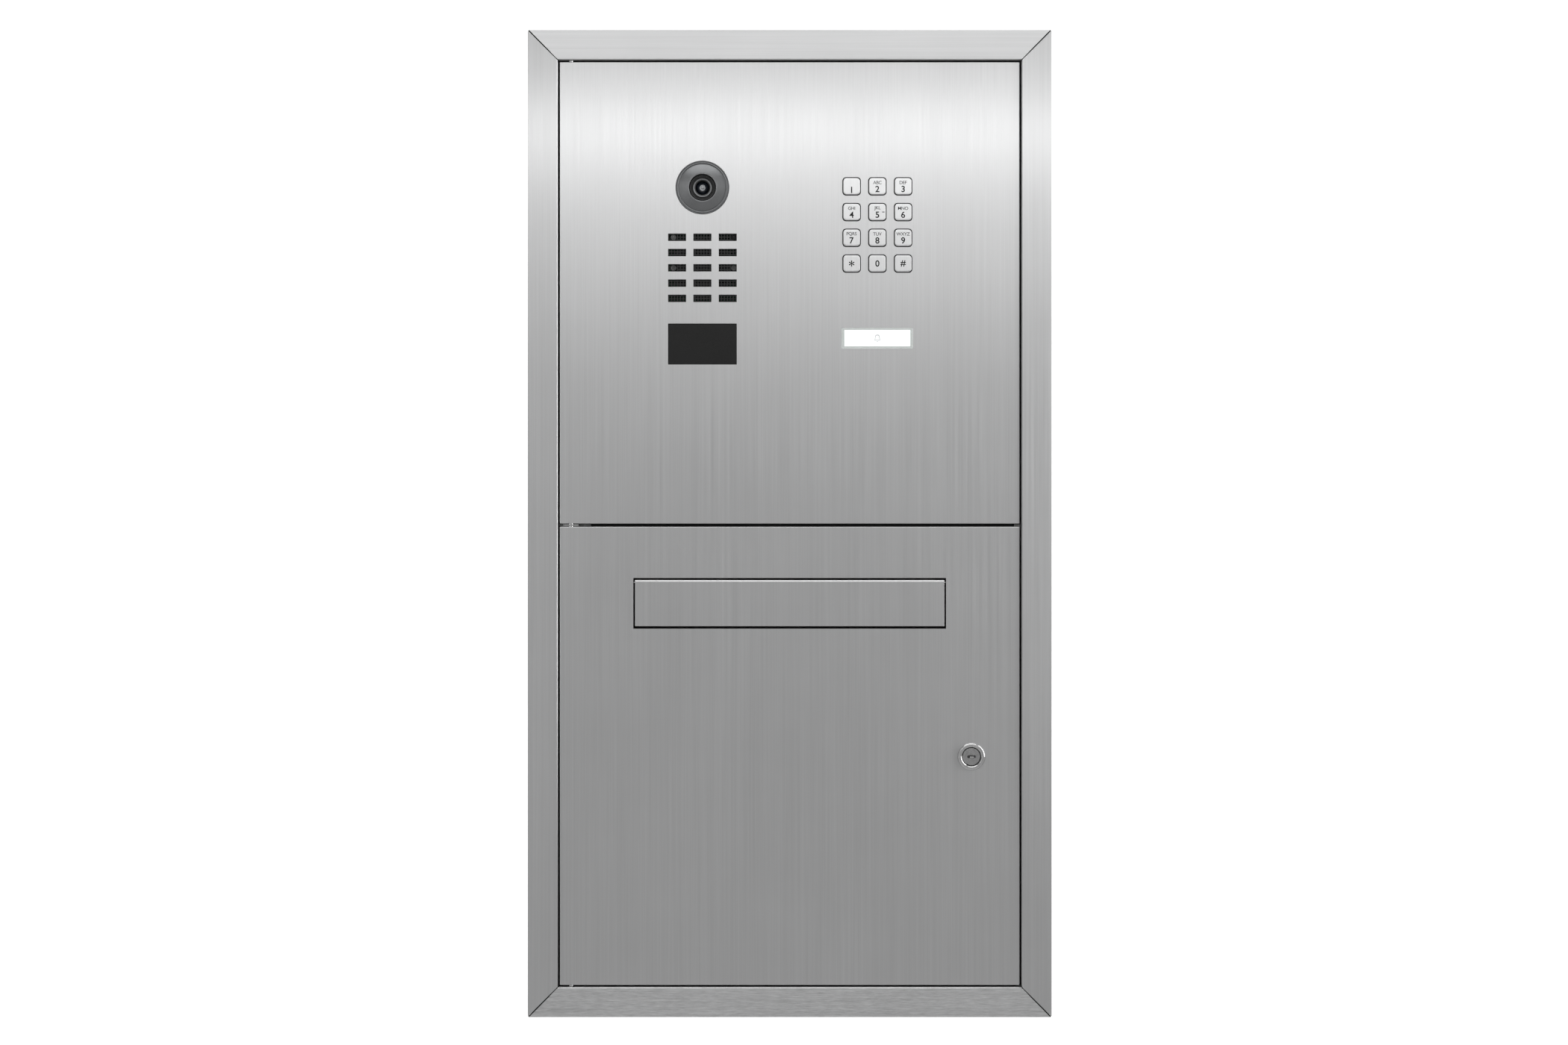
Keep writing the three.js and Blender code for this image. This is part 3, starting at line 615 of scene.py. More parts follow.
def mitre_shade_strip(name, side_x, side_z):
    """Thin black strip in the mitre, following the sloping sheet: painted shade for the mitre's
    dark gap.
    """
    low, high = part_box("trim_top")
    outer = Vector((side_x * (high.x - MITRE_OUTER_INSET), side_z * (high.z - MITRE_OUTER_INSET)))
    inner = Vector((side_x * MITRE_INNER.x, side_z * MITRE_INNER.y))
    across = Vector((-side_z, side_x)).normalized() * MITRE_SHADE_HALF
    rings = []
    for end in (inner, outer):
        front = low.y + TRIM_SLOPE * (abs(end.x) - TRIM_SLOPE_FROM) - MITRE_SHADE_PROUD
        rings.append([
            (end.x - across.x, front, end.y - across.y),
            (end.x + across.x, front, end.y + across.y),
            (end.x + across.x, front + MITRE_SHADE_DEPTH, end.y + across.y),
            (end.x - across.x, front + MITRE_SHADE_DEPTH, end.y - across.y),
        ])
    add_piece(name, loft(name, rings), "wall_unit", "silicone_rubber", material=ENGRAVING_AND_SHADE_INK)


# black strips in the four mitres of the trim: painted shade where the mitres' gaps lie dark
for label_x, side_x in (("left", -1), ("right", 1)):
    for label_z, side_z in (("bottom", -1), ("top", 1)):
        mitre_shade_strip(f"mitre_shade_strip_{label_z}_{label_x}", side_x, side_z)

# ---- trays

KEYS = {
    "key_1": ("1", ""), "key_2": ("2", "ABC"), "key_3": ("3", "DEF"),
    "key_4": ("4", "GHI"), "key_5": ("5", "JKL"), "key_6": ("6", "MNO"),
    "key_7": ("7", "PQRS"), "key_8": ("8", "TUV"), "key_9": ("9", "WXYZ"),
    "key_star": ("*", ""), "key_0": ("0", ""), "key_hash": ("#", ""),
}
GRILLE_COLUMNS = 3
GRILLE_ROWS = 5
SLOT = Vector((14.0 * MM, 0, 5.8 * MM))
SLOT_PITCH = Vector((19.67 * MM, 0, 11.87 * MM))
KEY_HOLE_HALF = 7.2 * MM
KEY_HOLE_CORNER = 2.9 * MM
CAMERA_HOLE_R = 20.9 * MM
READER_HOLE_HALF = Vector((26.7, 0, 15.95)) * MM
BUTTON_HOLE_HALF = Vector((28.0, 0, 8.2)) * MM
FLAP_HOLE_HALF = Vector((121.5, 0, 19.7)) * MM
LOCK_HOLE_R = 9.1 * MM
TRAY_BACK_Y = 12.0 * MM
TRAY_BEND = 0.5 * MM
TRAY_RIM = 4.0 * MM               # width of the strip along the bend that belongs to the rim
TRAY_FACE_BEVEL = 0.007 * MM
TRAY_CORNER = 0.4 * MM
TRAY_GROWTH = 0.6 * MM            # the photographed gap is finer than the solids' clearance
OUTER_EDGE_FROM = 100 * MM        # edges further than this from the middle of the unit grow
MIDDLE_SHORTENING = 0.25 * MM     # widens the gap between the two trays
# the strip behind the middle gap, a seal that is black to paint the gap's shade
SHADE_SEAL_MIDDLE = Vector((10, 0, -1.2)) * MM
SHADE_SEAL_HALF = Vector((165, 0, 2.6)) * MM
SHADE_SEAL_Y = (12.4 * MM, 14.0 * MM)


def slot_centres():
    """Places of the sound slots, as (x, z)."""
    middle = centre("speaker_mesh")
    for row in range(GRILLE_ROWS):
        for column in range(GRILLE_COLUMNS):
            yield (
                middle.x + (column - 1) * SLOT_PITCH.x,
                middle.z + (2 - row) * SLOT_PITCH.z,
            )


def tray(node, holes):
    """A sheet with folded-back edges: a plate with holes and a rim with a round front bend."""
    low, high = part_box(node)
    for corner in (low, high):
        corner.x += math.copysign(TRAY_GROWTH, corner.x)
        if abs(corner.z) > OUTER_EDGE_FROM:
            corner.z += math.copysign(TRAY_GROWTH, corner.z)
    if low.z > -OUTER_EDGE_FROM:
        low.z += MIDDLE_SHORTENING
    else:
        high.z -= MIDDLE_SHORTENING
    front, back = low.y, TRAY_BACK_Y
    half_w, half_h = (high.x - low.x) / 2, (high.z - low.z) / 2
    middle = (low + high) / 2
    bend = TRAY_BEND
    face = sheet_from(
        node + "_face",
        [rectangle(middle, half_w - TRAY_RIM, half_h - TRAY_RIM, 0.2 * MM, 2), *holes],
        front, front + SHEET, TRAY_FACE_BEVEL,
    )
    # the rim's section, as (distance from the outer edge, y)
    section = [(TRAY_RIM, front), (bend, front)]
    for i in range(1, 6):
        angle = math.radians(18 * i)
        section.append((bend - bend * math.sin(angle), front + bend - bend * math.cos(angle)))
    section += [(0, back), (SHEET, back), (SHEET, front + SHEET), (TRAY_RIM, front + SHEET)]
    rings = stacked(middle, [
        (half_w - distance, half_h - distance, max(TRAY_CORNER, bend - distance), y)
        for distance, y in section
    ], 2)
    bm = bmesh.new()
    skin(bm, rings)
    rim = mesh_from(bm, node + "_rim")
    return joined(node + "_sheet", face, rim)


def intercom_tray():
    """The upper tray's node and holes."""
    node = "intercom_front_panel"
    reader, button = centre("rfid_window"), centre("call_button_label")
    camera = centre("camera_bezel")
    holes = [shifted(circle_points(CAMERA_HOLE_R), camera.x, camera.z)]
    holes += [
        shifted(ring_points(SLOT.x / 2, SLOT.z / 2, 0.25 * MM, 3), x, z)
        for x, z in slot_centres()
    ]
    holes.append(rectangle(reader, READER_HOLE_HALF.x, READER_HOLE_HALF.z, 0.3 * MM, 3))
    holes.append(rectangle(button, BUTTON_HOLE_HALF.x, BUTTON_HOLE_HALF.z, 0.4 * MM, 3))
    for key in KEYS:
        holes.append(rectangle(centre(key), KEY_HOLE_HALF, KEY_HOLE_HALF, KEY_HOLE_CORNER, 8))
    return node, holes


def mailbox_tray():
    """The lower tray's node and holes."""
    node = "mailbox_door_panel"
    lock, chute = centre("lock_body"), centre("letter_chute")
    return node, [
        rectangle(chute, FLAP_HOLE_HALF.x, FLAP_HOLE_HALF.z, 0.3 * MM, 3),
        shifted(circle_points(LOCK_HOLE_R), lock.x, lock.z),
    ]


for node, holes in (intercom_tray(), mailbox_tray()):
    add_piece(node + "_sheet", tray(node, holes), body_of(node), slot_of(node), [node])

# black strip behind the gap between the trays: a seal whose black also paints the shade in that gap
add_piece(
    "divider_shade_seal",
    sheet_from(
        "divider_shade_seal", [rectangle(SHADE_SEAL_MIDDLE, SHADE_SEAL_HALF.x, SHADE_SEAL_HALF.z, 0.4 * MM, 3)],
        *SHADE_SEAL_Y, 0.3 * MM,
    ),
    "wall_unit", "black_plastic",
)

# ---- letter flap

FLAP_BEND = 2.0 * MM
FLAP_HEM = 2.2 * MM               # radius of the hem round the hinge rod
FLAP_HEM_BORE = 1.5 * MM
FLAP_HEM_HALF = 112 * MM


def flap_outline(front, bottom, top, axis_y):
    """Section of the flap in (y, z): face, round bend, short flange."""
    bend_y, bend_z = front + FLAP_BEND, top - FLAP_BEND
    points = [(front, bottom), (front + SHEET, bottom)]
    for i in range(5):
        angle = math.radians(180 - 90 * i / 4)
        inner = FLAP_BEND - SHEET
        points.append((bend_y + inner * math.cos(angle), bend_z + inner * math.sin(angle)))
    points += [(axis_y, top - SHEET), (axis_y, top)]
    for i in range(9):
        angle = math.radians(90 + 90 * i / 8)
        points.append((bend_y + FLAP_BEND * math.cos(angle), bend_z + FLAP_BEND * math.sin(angle)))
    return points


def prism_along_x(name, points, low_x, high_x, edge):
    """A (y, z) outline between two x places, with rounded ends."""
    # sheet_from draws in x and z with its depth in y: a quarter turn about z makes it y, z and x
    turn = Matrix.Rotation(math.pi / 2, 4, "Z")
    return sheet_from(name, [points], -high_x, -low_x, edge, turn)


def letter_flap():
    """Face with a bent top edge, a narrower flange behind it and a hem round the hinge rod."""
    low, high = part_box("letter_flap")
    axis_y = centre("flap_rod").y
    axis_z = centre("flap_rod").z
    outline = flap_outline(low.y, low.z, high.z, low.y + FLAP_BEND + 1 * MM)
    face = prism_along_x("flap_face", outline, low.x, high.x, 0.12 * MM)
    flange_front, flange_top = low.y + FLAP_BEND + 0.5 * MM, high.z - 0.01 * MM
    flange = prism_along_x(
        "flap_flange",
        [
            (flange_front, high.z - SHEET), (axis_y, high.z - SHEET),
            (axis_y, flange_top), (flange_front, flange_top),
        ],
        -FLAP_HEM_HALF, FLAP_HEM_HALF, 0.1 * MM,
    )
    hem_profile = [
        (FLAP_HEM_BORE, -FLAP_HEM_HALF), (FLAP_HEM, -FLAP_HEM_HALF),
        (FLAP_HEM, FLAP_HEM_HALF), (FLAP_HEM_BORE, FLAP_HEM_HALF),
    ]
    hem = turned("flap_hem", hem_profile, Vector((0, 0, 0)), steps=40)
    hem.transform(Matrix.Translation((0, axis_y, axis_z)) @ Matrix.Rotation(math.pi / 2, 4, "Z"))
    return joined("letter_flap_sheet", face, flange, hem)


add_piece("letter_flap_sheet", letter_flap(), "flap", "brushed_steel_vertical", ["letter_flap"])

# ---- keys

KEY_FACE_HALF = 6.45 * MM
KEY_CORNER = 2.4 * MM
KEY_FLANGE_HALF = 8.3 * MM
KEY_SHOULDER = 0.4 * MM
KEY_SKIRT_DEPTH = 0.78 * MM
DIGIT_HEIGHT = 4.9 * MM
DIGIT_WEIGHT = 0.12 * MM
LETTER_HEIGHT = 2.6 * MM
LETTER_WEIGHT = 0.02 * MM
LETTERS_UP = Vector((0, 0, 2.9)) * MM
SIZE_PER_HEIGHT = 1.38            # Blender's font size for a capital of height 1
STAR_SIZE = 1.5                   # the font's star is small and high


def key_rings(place, rings):
    """Rings of (half width, corner, y) about a key's middle."""
    return stacked(place, [(half, half, corner, y) for half, corner, y in rings], 8)


def key_cap(name, place):
    """Metal cap with a rounded shoulder and a face that is flat in its middle."""
    front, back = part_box(name)[0].y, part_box(name)[1].y - 0.8 * MM
    shoulder = KEY_SHOULDER
    rings = [(KEY_FACE_HALF, KEY_CORNER, back), (KEY_FACE_HALF, KEY_CORNER, front + shoulder)]
    for i in range(1, 8):
        angle = math.radians(90 * i / 7)
        drop = shoulder * (1 - math.cos(angle))
        y = front + shoulder - shoulder * 0.94 * math.sin(angle)
        rings.append((KEY_FACE_HALF - drop, KEY_CORNER - drop * 0.6, y))
    edge = rings[-1][0]
    crown = 0.06 * shoulder
    for share in (0.3, 0.65, 1.0):
        y = front + crown * (1 - math.sin(share * math.pi / 2))
        rings.append((edge - share * 0.9 * MM, KEY_CORNER * 0.7, y))
    return loft(name + "_cap", key_rings(place, rings))


def key_skirt(name, place):
    """Dark rubber flange that the cap sits on, just behind the sheet; its black also paints the
    shade in the gap round the cap.
    """
    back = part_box(name)[1].y
    front = back - KEY_SKIRT_DEPTH
    return loft(name + "_skirt", key_rings(place, [
        (KEY_FLANGE_HALF, KEY_CORNER, back),
        (KEY_FLANGE_HALF, KEY_CORNER, front),
    ]))


def glyphs(name, text, height, place, y, weight):
    """Flat characters centred on a place, facing the street. weight makes their strokes bolder."""
    curve = bpy.data.curves.new(name, "FONT")
    curve.body = text
    curve.size = height * SIZE_PER_HEIGHT
    curve.space_character = 0.92
    curve.align_x = "CENTER"
    curve.align_y = "CENTER"
    curve.extrude = 0.04 * MM
    curve.offset = weight
    curve.resolution_u = 6
    mesh = evaluated_mesh(name, curve)
    mesh.transform(Matrix.Rotation(math.pi / 2, 4, "X"))
    corners = [vertex.co for vertex in mesh.vertices]
    middle_x = (min(c.x for c in corners) + max(c.x for c in corners)) / 2
    middle_z = (min(c.z for c in corners) + max(c.z for c in corners)) / 2
    mesh.transform(Matrix.Translation((place.x - middle_x, y, place.z - middle_z)))
    return mesh


def digit_drop(digit):
    """How far a character sits below the middle of its key."""
    return {"*": 0.0, "0": 0.0, "#": 0.0, "1": 2.8 * MM}.get(digit, 2.1 * MM)


for key, (digit, letters) in KEYS.items():
    place = centre(key)
    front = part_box(key)[0].y
    add_piece(key + "_cap", key_cap(key, place), key, "key_metal", [key])
    # the skirt's black also paints the shade in the gap round each key
    add_piece(key + "_skirt", key_skirt(key, place), key, "black_plastic", [key])
    height = DIGIT_HEIGHT * (STAR_SIZE if digit == "*" else 1.0)
    digit_place = place - Vector((0, 0, digit_drop(digit)))
    marks = [glyphs(key + "_digit", digit, height, digit_place, front, DIGIT_WEIGHT)]
    if letters:
        marks.append(glyphs(
            key + "_letters", letters, LETTER_HEIGHT, place + LETTERS_UP, front, LETTER_WEIGHT,
        ))
    if digit == "5":
        dash = rectangle(place + Vector((4.6 * MM, 0, 0)), 1.0 * MM, 0.3 * MM, 0.2 * MM, 3)
        marks.append(sheet_from(
            "key_5_dash", [dash], front - 0.12 * MM, front + 0.1 * MM, 0.05 * MM,
        ))
    engraving = joined(key + "_engraving", *marks)
    add_piece(key + "_engraving", engraving, key, "key_metal", material=ENGRAVING_AND_SHADE_INK)

# ---- camera

camera = centre("camera_bezel")
camera_place = Vector((camera.x, 0, camera.z))


def millimetres(profile):
    return [(r * MM, along * MM) for r, along in profile]


def arc_profile(cx, cy, radius, start, end, steps):
    """Points of an arc in a (radius, along) profile, angles in degrees."""
    return [
        (
            cx + radius * math.cos(math.radians(start + (end - start) * i / steps)),
            cy + radius * math.sin(math.radians(start + (end - start) * i / steps)),
        )
        for i in range(steps + 1)
    ]


BEZEL_DOME_R = 18.1
BEZEL_DOME_Y = (-2.3, -4.4)       # at its outer and its inner edge


def bezel_dome(steps=10):
    """Bulging face between the rim and the opening for the lens, as (radius, along)."""
    inner = 10.9
    points = []
    for i in range(steps + 1):
        r = inner + (BEZEL_DOME_R - inner) * i / steps
        share = (r * r - inner * inner) / (BEZEL_DOME_R**2 - inner * inner)
        points.append((r, BEZEL_DOME_Y[1] + (BEZEL_DOME_Y[0] - BEZEL_DOME_Y[1]) * share))
    return points


BEZEL = [
    (10.3, 8), (10.3, -3.4), (10.4, -4.1), (10.6, -4.32), *bezel_dome(),
    (18.15, -0.8), (18.7, -0.8), (18.75, -2.9), *arc_profile(19.1, -2.9, 0.35, 180, 268, 5),
    (19.5, -3.2), (19.55, -1.2), (20.0, -1.2), (20.05, -2.6),
    *arc_profile(20.35, -2.6, 0.3, 200, 355, 6),
    (20.65, -1.2), (23.5, -1.2), (23.5, 1), (13.5, 1), (13.5, 8),
]
BARREL = [
    (0, 14), (10, 14), (10, -0.5), *arc_profile(9.7, -0.6, 0.3, 0, -90, 3),
    (9.0, -0.9), (8.8, -0.45), (8.5, -0.45), (8.3, -0.8), (8.1, -0.8), (7.9, -0.2),
    (7.1, 0.0), (6.9, -0.3), (6.5, -0.3), (6.3, 0.1), (5.5, 0.5), (5.35, 0.8), (5.35, 6), (0, 6),
]
BARREL_RING = [(6.1, 0.6), (6.1, -0.7), (6.25, -0.85), (7.2, -0.95), (7.35, -0.8), (7.35, 0.6)]
PUPIL = [
    (0, 1.2), (2.3, 1.2), (2.3, 0.75), (2.1, 0.62), (1.7, 0.62), (1.5, 0.72), (1.1, 0.6), (0, 0.42),
]
LENS = [(0, 5.7), (5.2, 5.7), (5.2, 1.9), *arc_profile(0, 6.9, 6.0, -30, -86, 14), (0, 0.9)]

for name, profile, steps, slot, replaced, material in (
    ("camera_bezel_ring", BEZEL, 160, "bezel_grey", ["camera_bezel"], None),
    ("camera_barrel_rings", BARREL, 128, "black_plastic", ["camera_lens_barrel"], None),
    ("camera_lens_dome", LENS, 96, "lens_glass", ["camera_lens"], None),
    ("camera_retaining_ring", BARREL_RING, 96, "bezel_grey", [], None),
    ("camera_inner_lens", PUPIL, 64, "lens_glass", [], INNER_LENS),
):
    ring = turned(name, millimetres(profile), camera_place, steps)
    add_piece(name, ring, "intercom_door", slot, replaced, material)

# ---- sound grille

MESH_PITCH = 2.3 * MM
MESH_WIRE = 0.75 * MM
MESH_THICKNESS = 0.4 * MM
MESH_CLEARANCE = 2.6 * MM         # the mesh is left out this close to a small part's middle
DOMED_PARTS = ("status_led", "light_sensor")
SMALL_PARTS = (*DOMED_PARTS, "microphone_left", "microphone_right")


def speaker_mesh():
    """Punched sheet: square holes on a square pitch, left out round the four small parts."""
    low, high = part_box("speaker_mesh")
    small_parts = [centre(node) for node in SMALL_PARTS]
    columns = round((high.x - low.x) / MESH_PITCH)
    rows = round((high.z - low.z) / MESH_PITCH)
    step_x, step_z = (high.x - low.x) / columns, (high.z - low.z) / rows
    bm = bmesh.new()

    def lines(start, step, count):
        places = []
        for i in range(count):
            places += [start + i * step + MESH_WIRE / 2, start + (i + 1) * step - MESH_WIRE / 2]
        return [start, *places, start + count * step]

    xs, zs = lines(low.x, step_x, columns), lines(low.z, step_z, rows)
    grid = [[bm.verts.new((x, low.y, z)) for z in zs] for x in xs]
    for i in range(len(xs) - 1):
        for j in range(len(zs) - 1):
            middle = Vector(((xs[i] + xs[i + 1]) / 2, (zs[j] + zs[j + 1]) / 2))
            is_hole = i % 2 == 1 and j % 2 == 1
            near_part = any(
                (middle - Vector((p.x, p.z))).length < MESH_CLEARANCE for p in small_parts
            )
            if not is_hole and not near_part:
                bm.faces.new((grid[i][j], grid[i + 1][j], grid[i + 1][j + 1], grid[i][j + 1]))
    bmesh.ops.delete(bm, geom=[v for v in bm.verts if not v.link_faces], context="VERTS")
    mesh = mesh_from(bm, "speaker_mesh_sheet", smooth=False)
    thicken = ("SOLIDIFY", {"thickness": MESH_THICKNESS, "offset": 0.0})
    return evaluated_mesh("speaker_mesh_sheet", mesh, thicken)


add_piece("speaker_mesh_sheet", speaker_mesh(), "intercom_door", "dark_mesh", ["speaker_mesh"])

SMALL_ROUND = [(0, 2.5), (2.2, 2.5), (2.2, -1.2), (2.0, -1.4), (1.75, -1.4), (1.6, -1.15)]
DOME = [*arc_profile(0, 1.2, 2.6, -58, -86, 6), (0, -1.4)]
MICROPHONE_OPENING = [(1.1, -0.9), (0.5, -0.9), (0.45, -0.2), (0, -0.2)]
for node in SMALL_PARTS:
    place = centre(node)
    place.y = 0
    tip = DOME if node in DOMED_PARTS else MICROPHONE_OPENING
    mesh = turned(node + "_round", millimetres(SMALL_ROUND + tip), place, steps=48)
    add_piece(node + "_round", mesh, "intercom_door", slot_of(node), [node])

# ---- card reader and call button

for node, width in (("rfid_window", 0.15), ("call_button_label", 0.1)):
    rounded_copy(node, width * MM)


CAP_HALF = Vector((27.6, 0, 7.8)) * MM
CAP_CORNER = 0.8 * MM
CAP_EDGE = 0.45 * MM
CAP_FLANGE_DEPTH = 2.2 * MM       # from the cap's face to its flange behind the sheet
CAP_POCKET_DEPTH = 0.7 * MM
POCKET_CLEARANCE = 0.3 * MM


def call_button_cap():
    """Clear cap with softly rounded edges, a flange behind the sheet and a pocket for the label."""
    low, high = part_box("call_button_cap")
    place = (low + high) / 2
    label = size("call_button_label")
    front = low.y
    flange_front = front + CAP_FLANGE_DEPTH
    pocket_w, pocket_h = label.x / 2 + POCKET_CLEARANCE, label.z / 2 + POCKET_CLEARANCE
    flange_w, flange_h = (high.x - low.x) / 2, (high.z - low.z) / 2
    # from the pocket's floor over its rim and round the flange to the face
    rings = [
        (pocket_w, pocket_h, POCKET_CLEARANCE, front + CAP_POCKET_DEPTH),
        (pocket_w, pocket_h, POCKET_CLEARANCE, high.y),
        (flange_w, flange_h, 0.6 * MM, high.y),
        (flange_w, flange_h, 0.6 * MM, flange_front),
        (CAP_HALF.x, CAP_HALF.z, CAP_CORNER, flange_front),
    ]
    for i in range(7):
        angle = math.radians(90 * i / 6)
        inward = CAP_EDGE * (1 - math.cos(angle))
        y = front + CAP_EDGE * (1 - math.sin(angle))
        rings.append((CAP_HALF.x - inward, CAP_HALF.z - inward, CAP_CORNER - inward / 2, y))
    return loft("call_button_cap_clear", stacked(place, rings, 4))


add_piece(
    "call_button_cap_clear", call_button_cap(), "call_button", "clear_plastic", ["call_button_cap"],
)


BELL_INNER = 0.66                 # size of the inner outline over the outer one
BELL_Y = (-0.06 * MM, 0.02 * MM)  # from the label's face


def bell_icon():
    """Outline of a bell with its clapper."""
    place = centre("call_button_label")
    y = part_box("call_button_label")[0].y
    dome = [
        (2.0 * math.cos(math.radians(a)), 0.9 + 2.0 * math.sin(math.radians(a)))
        for a in range(165, 10, -15)
    ]
    outline = [(-2.7, -2.0), (-2.1, -1.1), (-2.0, 0.7), *dome, (2.0, 0.7), (2.1, -1.1), (2.7, -2.0)]

    def scaled(share):
        return [(x * share * MM + place.x, z * share * MM + place.z) for x, z in outline]

    front, back = y + BELL_Y[0], y + BELL_Y[1]
    bell = sheet_from(
        "bell_outline", [scaled(1.0), scaled(BELL_INNER)], front, back, 0.005 * MM,
    )
    clapper = rectangle(place - Vector((0, 0, 2.7 * MM)), 0.85 * MM, 0.3 * MM, 0.25 * MM, 4)
    clapper = sheet_from("bell_clapper", [clapper], front, back, 0.005 * MM)
    return joined("bell_icon", bell, clapper)


add_piece("bell_icon", bell_icon(), "call_button", "lit_label", material=PRINT)

# ---- cam lock

lock = centre("lock_plug")
lock_place = Vector((lock.x, 0, lock.z))
LOCK_HEAD = [
    (7.2, 14), (8.8, 14), (8.8, -3.1), (10.6, -3.1), (10.75, -3.25), (10.75, -4.6),
    *arc_profile(9.15, -4.6, 1.6, 0, -90, 10),
    (8.4, -6.2), (7.9, -6.05), (7.45, -5.5), (7.2, -5.1),
]
PLUG_BODY = [
    (0, 15), (6.9, 15), (6.9, -4.9), (6.6, -5.2), (3.6, -5.3), (3.6, 8), (0, 8),
]
add_piece(
    "lock_head_ring", turned("lock_head_ring", millimetres(LOCK_HEAD), lock_place, steps=128),
    "mailbox_door", "lock_chrome", ["lock_body"],
)


KEYWAY_HALF = 2.2                 # from the plug's middle to the middle of each round end
KEYWAY_R = 1.15


def plug_face():
    """Disc that closes the front of the plug, with the keyway cut through it."""
    keyway = []
    for side, start in ((1, -90), (-1, 90)):
        for degrees in range(start, start + 181, 15):
            angle = math.radians(degrees)
            x = side * KEYWAY_HALF + KEYWAY_R * math.cos(angle)
            keyway.append((x * MM + lock.x, KEYWAY_R * math.sin(angle) * MM + lock.z))
    disc = shifted(circle_points(3.62 * MM), lock.x, lock.z)
    return sheet_from("plug_face", [disc, keyway], -5.3 * MM, -2.3 * MM, 0.02 * MM)


shutter_place = lock + Vector((0.3, 0, -0.55)) * MM
shutter = sheet_from(
    "plug_shutter", [rectangle(shutter_place, 1.6 * MM, 0.5 * MM, 0.3 * MM, 4)],
    -5.1 * MM, -2.0 * MM, 0.2 * MM,
)
shank = sheet_from(
    "plug_shank", [rectangle(lock, 4 * MM, 4 * MM, 0.4 * MM, 3)],
    14.9 * MM, 18.2 * MM, 0.2 * MM,
)
plug_body = turned("plug_body", millimetres(PLUG_BODY), lock_place, steps=96)
add_piece(
    "lock_plug_core", joined("lock_plug_core", plug_body, plug_face(), shank),
    "lock", "lock_chrome", ["lock_plug"], PLUG_METAL,
)
add_piece("lock_keyway_shutter", shutter, "lock", "lock_chrome", ["lock_plug"])

# ---- other pieces

for node, width in (
    ("wall_box_back", 0.4), ("wall_box_left", 0.4), ("wall_box_right", 0.4), ("wall_box_top", 0.4),
    ("wall_box_bottom", 0.4), ("divider_shelf", 0.25), ("letter_chute", 0.25), ("lock_strike", 0.3),
    ("lock_cam", 0.3), ("lock_nut", 0.3), ("module_housing", 0.8), ("keypad_frame", 0.5),
    ("button_housing", 0.5), ("gland_nut", 0.3),
):
    rounded_copy(node, width * MM, 2)

# ---- fittings inside and behind

SCREW_HEAD = [
    (0, -0.5), (1.0, -0.5), (1.0, -1.45), (1.5, -1.5), (2.1, -1.25), (2.5, -0.7), (2.55, 0), (0, 0),
]
COVER_INSET = 3 * MM
COVER_HEIGHT = 1.3 * MM
COOLING_ROWS = 8
COOLING_PITCH = 4.2 * MM
TERMINALS = 8
TERMINAL_PITCH = 5.08 * MM
KNOCKOUT_R = 11 * MM


def screws(name, body, places):
    """Pan-head screws, at (x, y, z) places, with their heads towards the inside of the box."""
    turn = Matrix.Rotation(math.pi, 4, "X")
    heads = []
    for i, place in enumerate(places):
        head = turned(f"{name}_{i}", millimetres(SCREW_HEAD), Vector((0, 0, 0)), steps=32)
        head.transform(Matrix.Translation(place) @ turn)
        heads.append(head)
    add_piece(name, joined(name, *heads), body, "steel_pin")


def corners_of(node, inset):
    """Four places on a node's inner face, inset from its corners."""
    low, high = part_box(node)
    return [
        Vector((x, high.y, z))
        for x in (low.x + inset, high.x - inset)
        for z in (low.z + inset, high.z - inset)
    ]


def module_cover():
    """Raised rear cover with two fields of cooling slots."""
    low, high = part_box("module_housing")
    middle = (low + high) / 2
    half_w, half_h = (high.x - low.x) / 2 - COVER_INSET, (high.z - low.z) / 2 - COVER_INSET
    outlines = [rectangle(middle, half_w, half_h, 2.5 * MM, 6)]
    for start in (62 * MM, -18 * MM):
        for row in range(COOLING_ROWS):
            slot_middle = middle + Vector((0, 0, start - row * COOLING_PITCH))
            outlines.append(rectangle(slot_middle, 19 * MM, 0.9 * MM, 0.85 * MM, 5))
    return sheet_from(
        "module_cover", outlines, high.y + 0.02 * MM, high.y + COVER_HEIGHT, 0.25 * MM,
    )


def terminal_block():
    """Row of wire terminals: a base with a tower and a screw well for each wire."""
    low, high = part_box("module_housing")
    middle = (low + high) / 2
    front = high.y + 1.25 * MM
    place = Vector((middle.x, 0, low.z + 14 * MM))
    parts = [sheet_from(
        "terminal_base",
        [rectangle(place, TERMINALS * TERMINAL_PITCH / 2, 5.0 * MM, 0.3 * MM, 3)],
        front, front + 2.6 * MM, 0.15 * MM,
    )]
    for i in range(TERMINALS):
        x = (i - (TERMINALS - 1) / 2) * TERMINAL_PITCH
        well_place = place + Vector((x, 0, 1.2 * MM))
        tower = rectangle(
            well_place, TERMINAL_PITCH / 2 - 0.15 * MM, 3.0 * MM, 0.25 * MM, 3,
        )
        well = shifted(circle_points(1.5 * MM, 24), well_place.x, well_place.z)
        parts.append(sheet_from(
            f"terminal_{i}", [tower, well], front + 2.4 * MM, front + 3.9 * MM, 0.12 * MM,
        ))
    return joined("terminal_block", *parts)


add_piece("module_cover", module_cover(), "intercom_door", "black_plastic")
add_piece(
    "terminal_block", terminal_block(), "intercom_door", "black_plastic", material=TERMINAL_GREEN,
)
on_cover = Vector((0, COVER_HEIGHT, 0))
cover_corners = [place + on_cover for place in corners_of("module_housing", 8 * MM)]
screws("module_screws", "intercom_door", cover_corners)
screws("keypad_screws", "intercom_door", corners_of("keypad_frame", 5 * MM))
button_corners = corners_of("button_housing", 5 * MM)
screws("button_screws", "intercom_door", [button_corners[0], button_corners[3]])


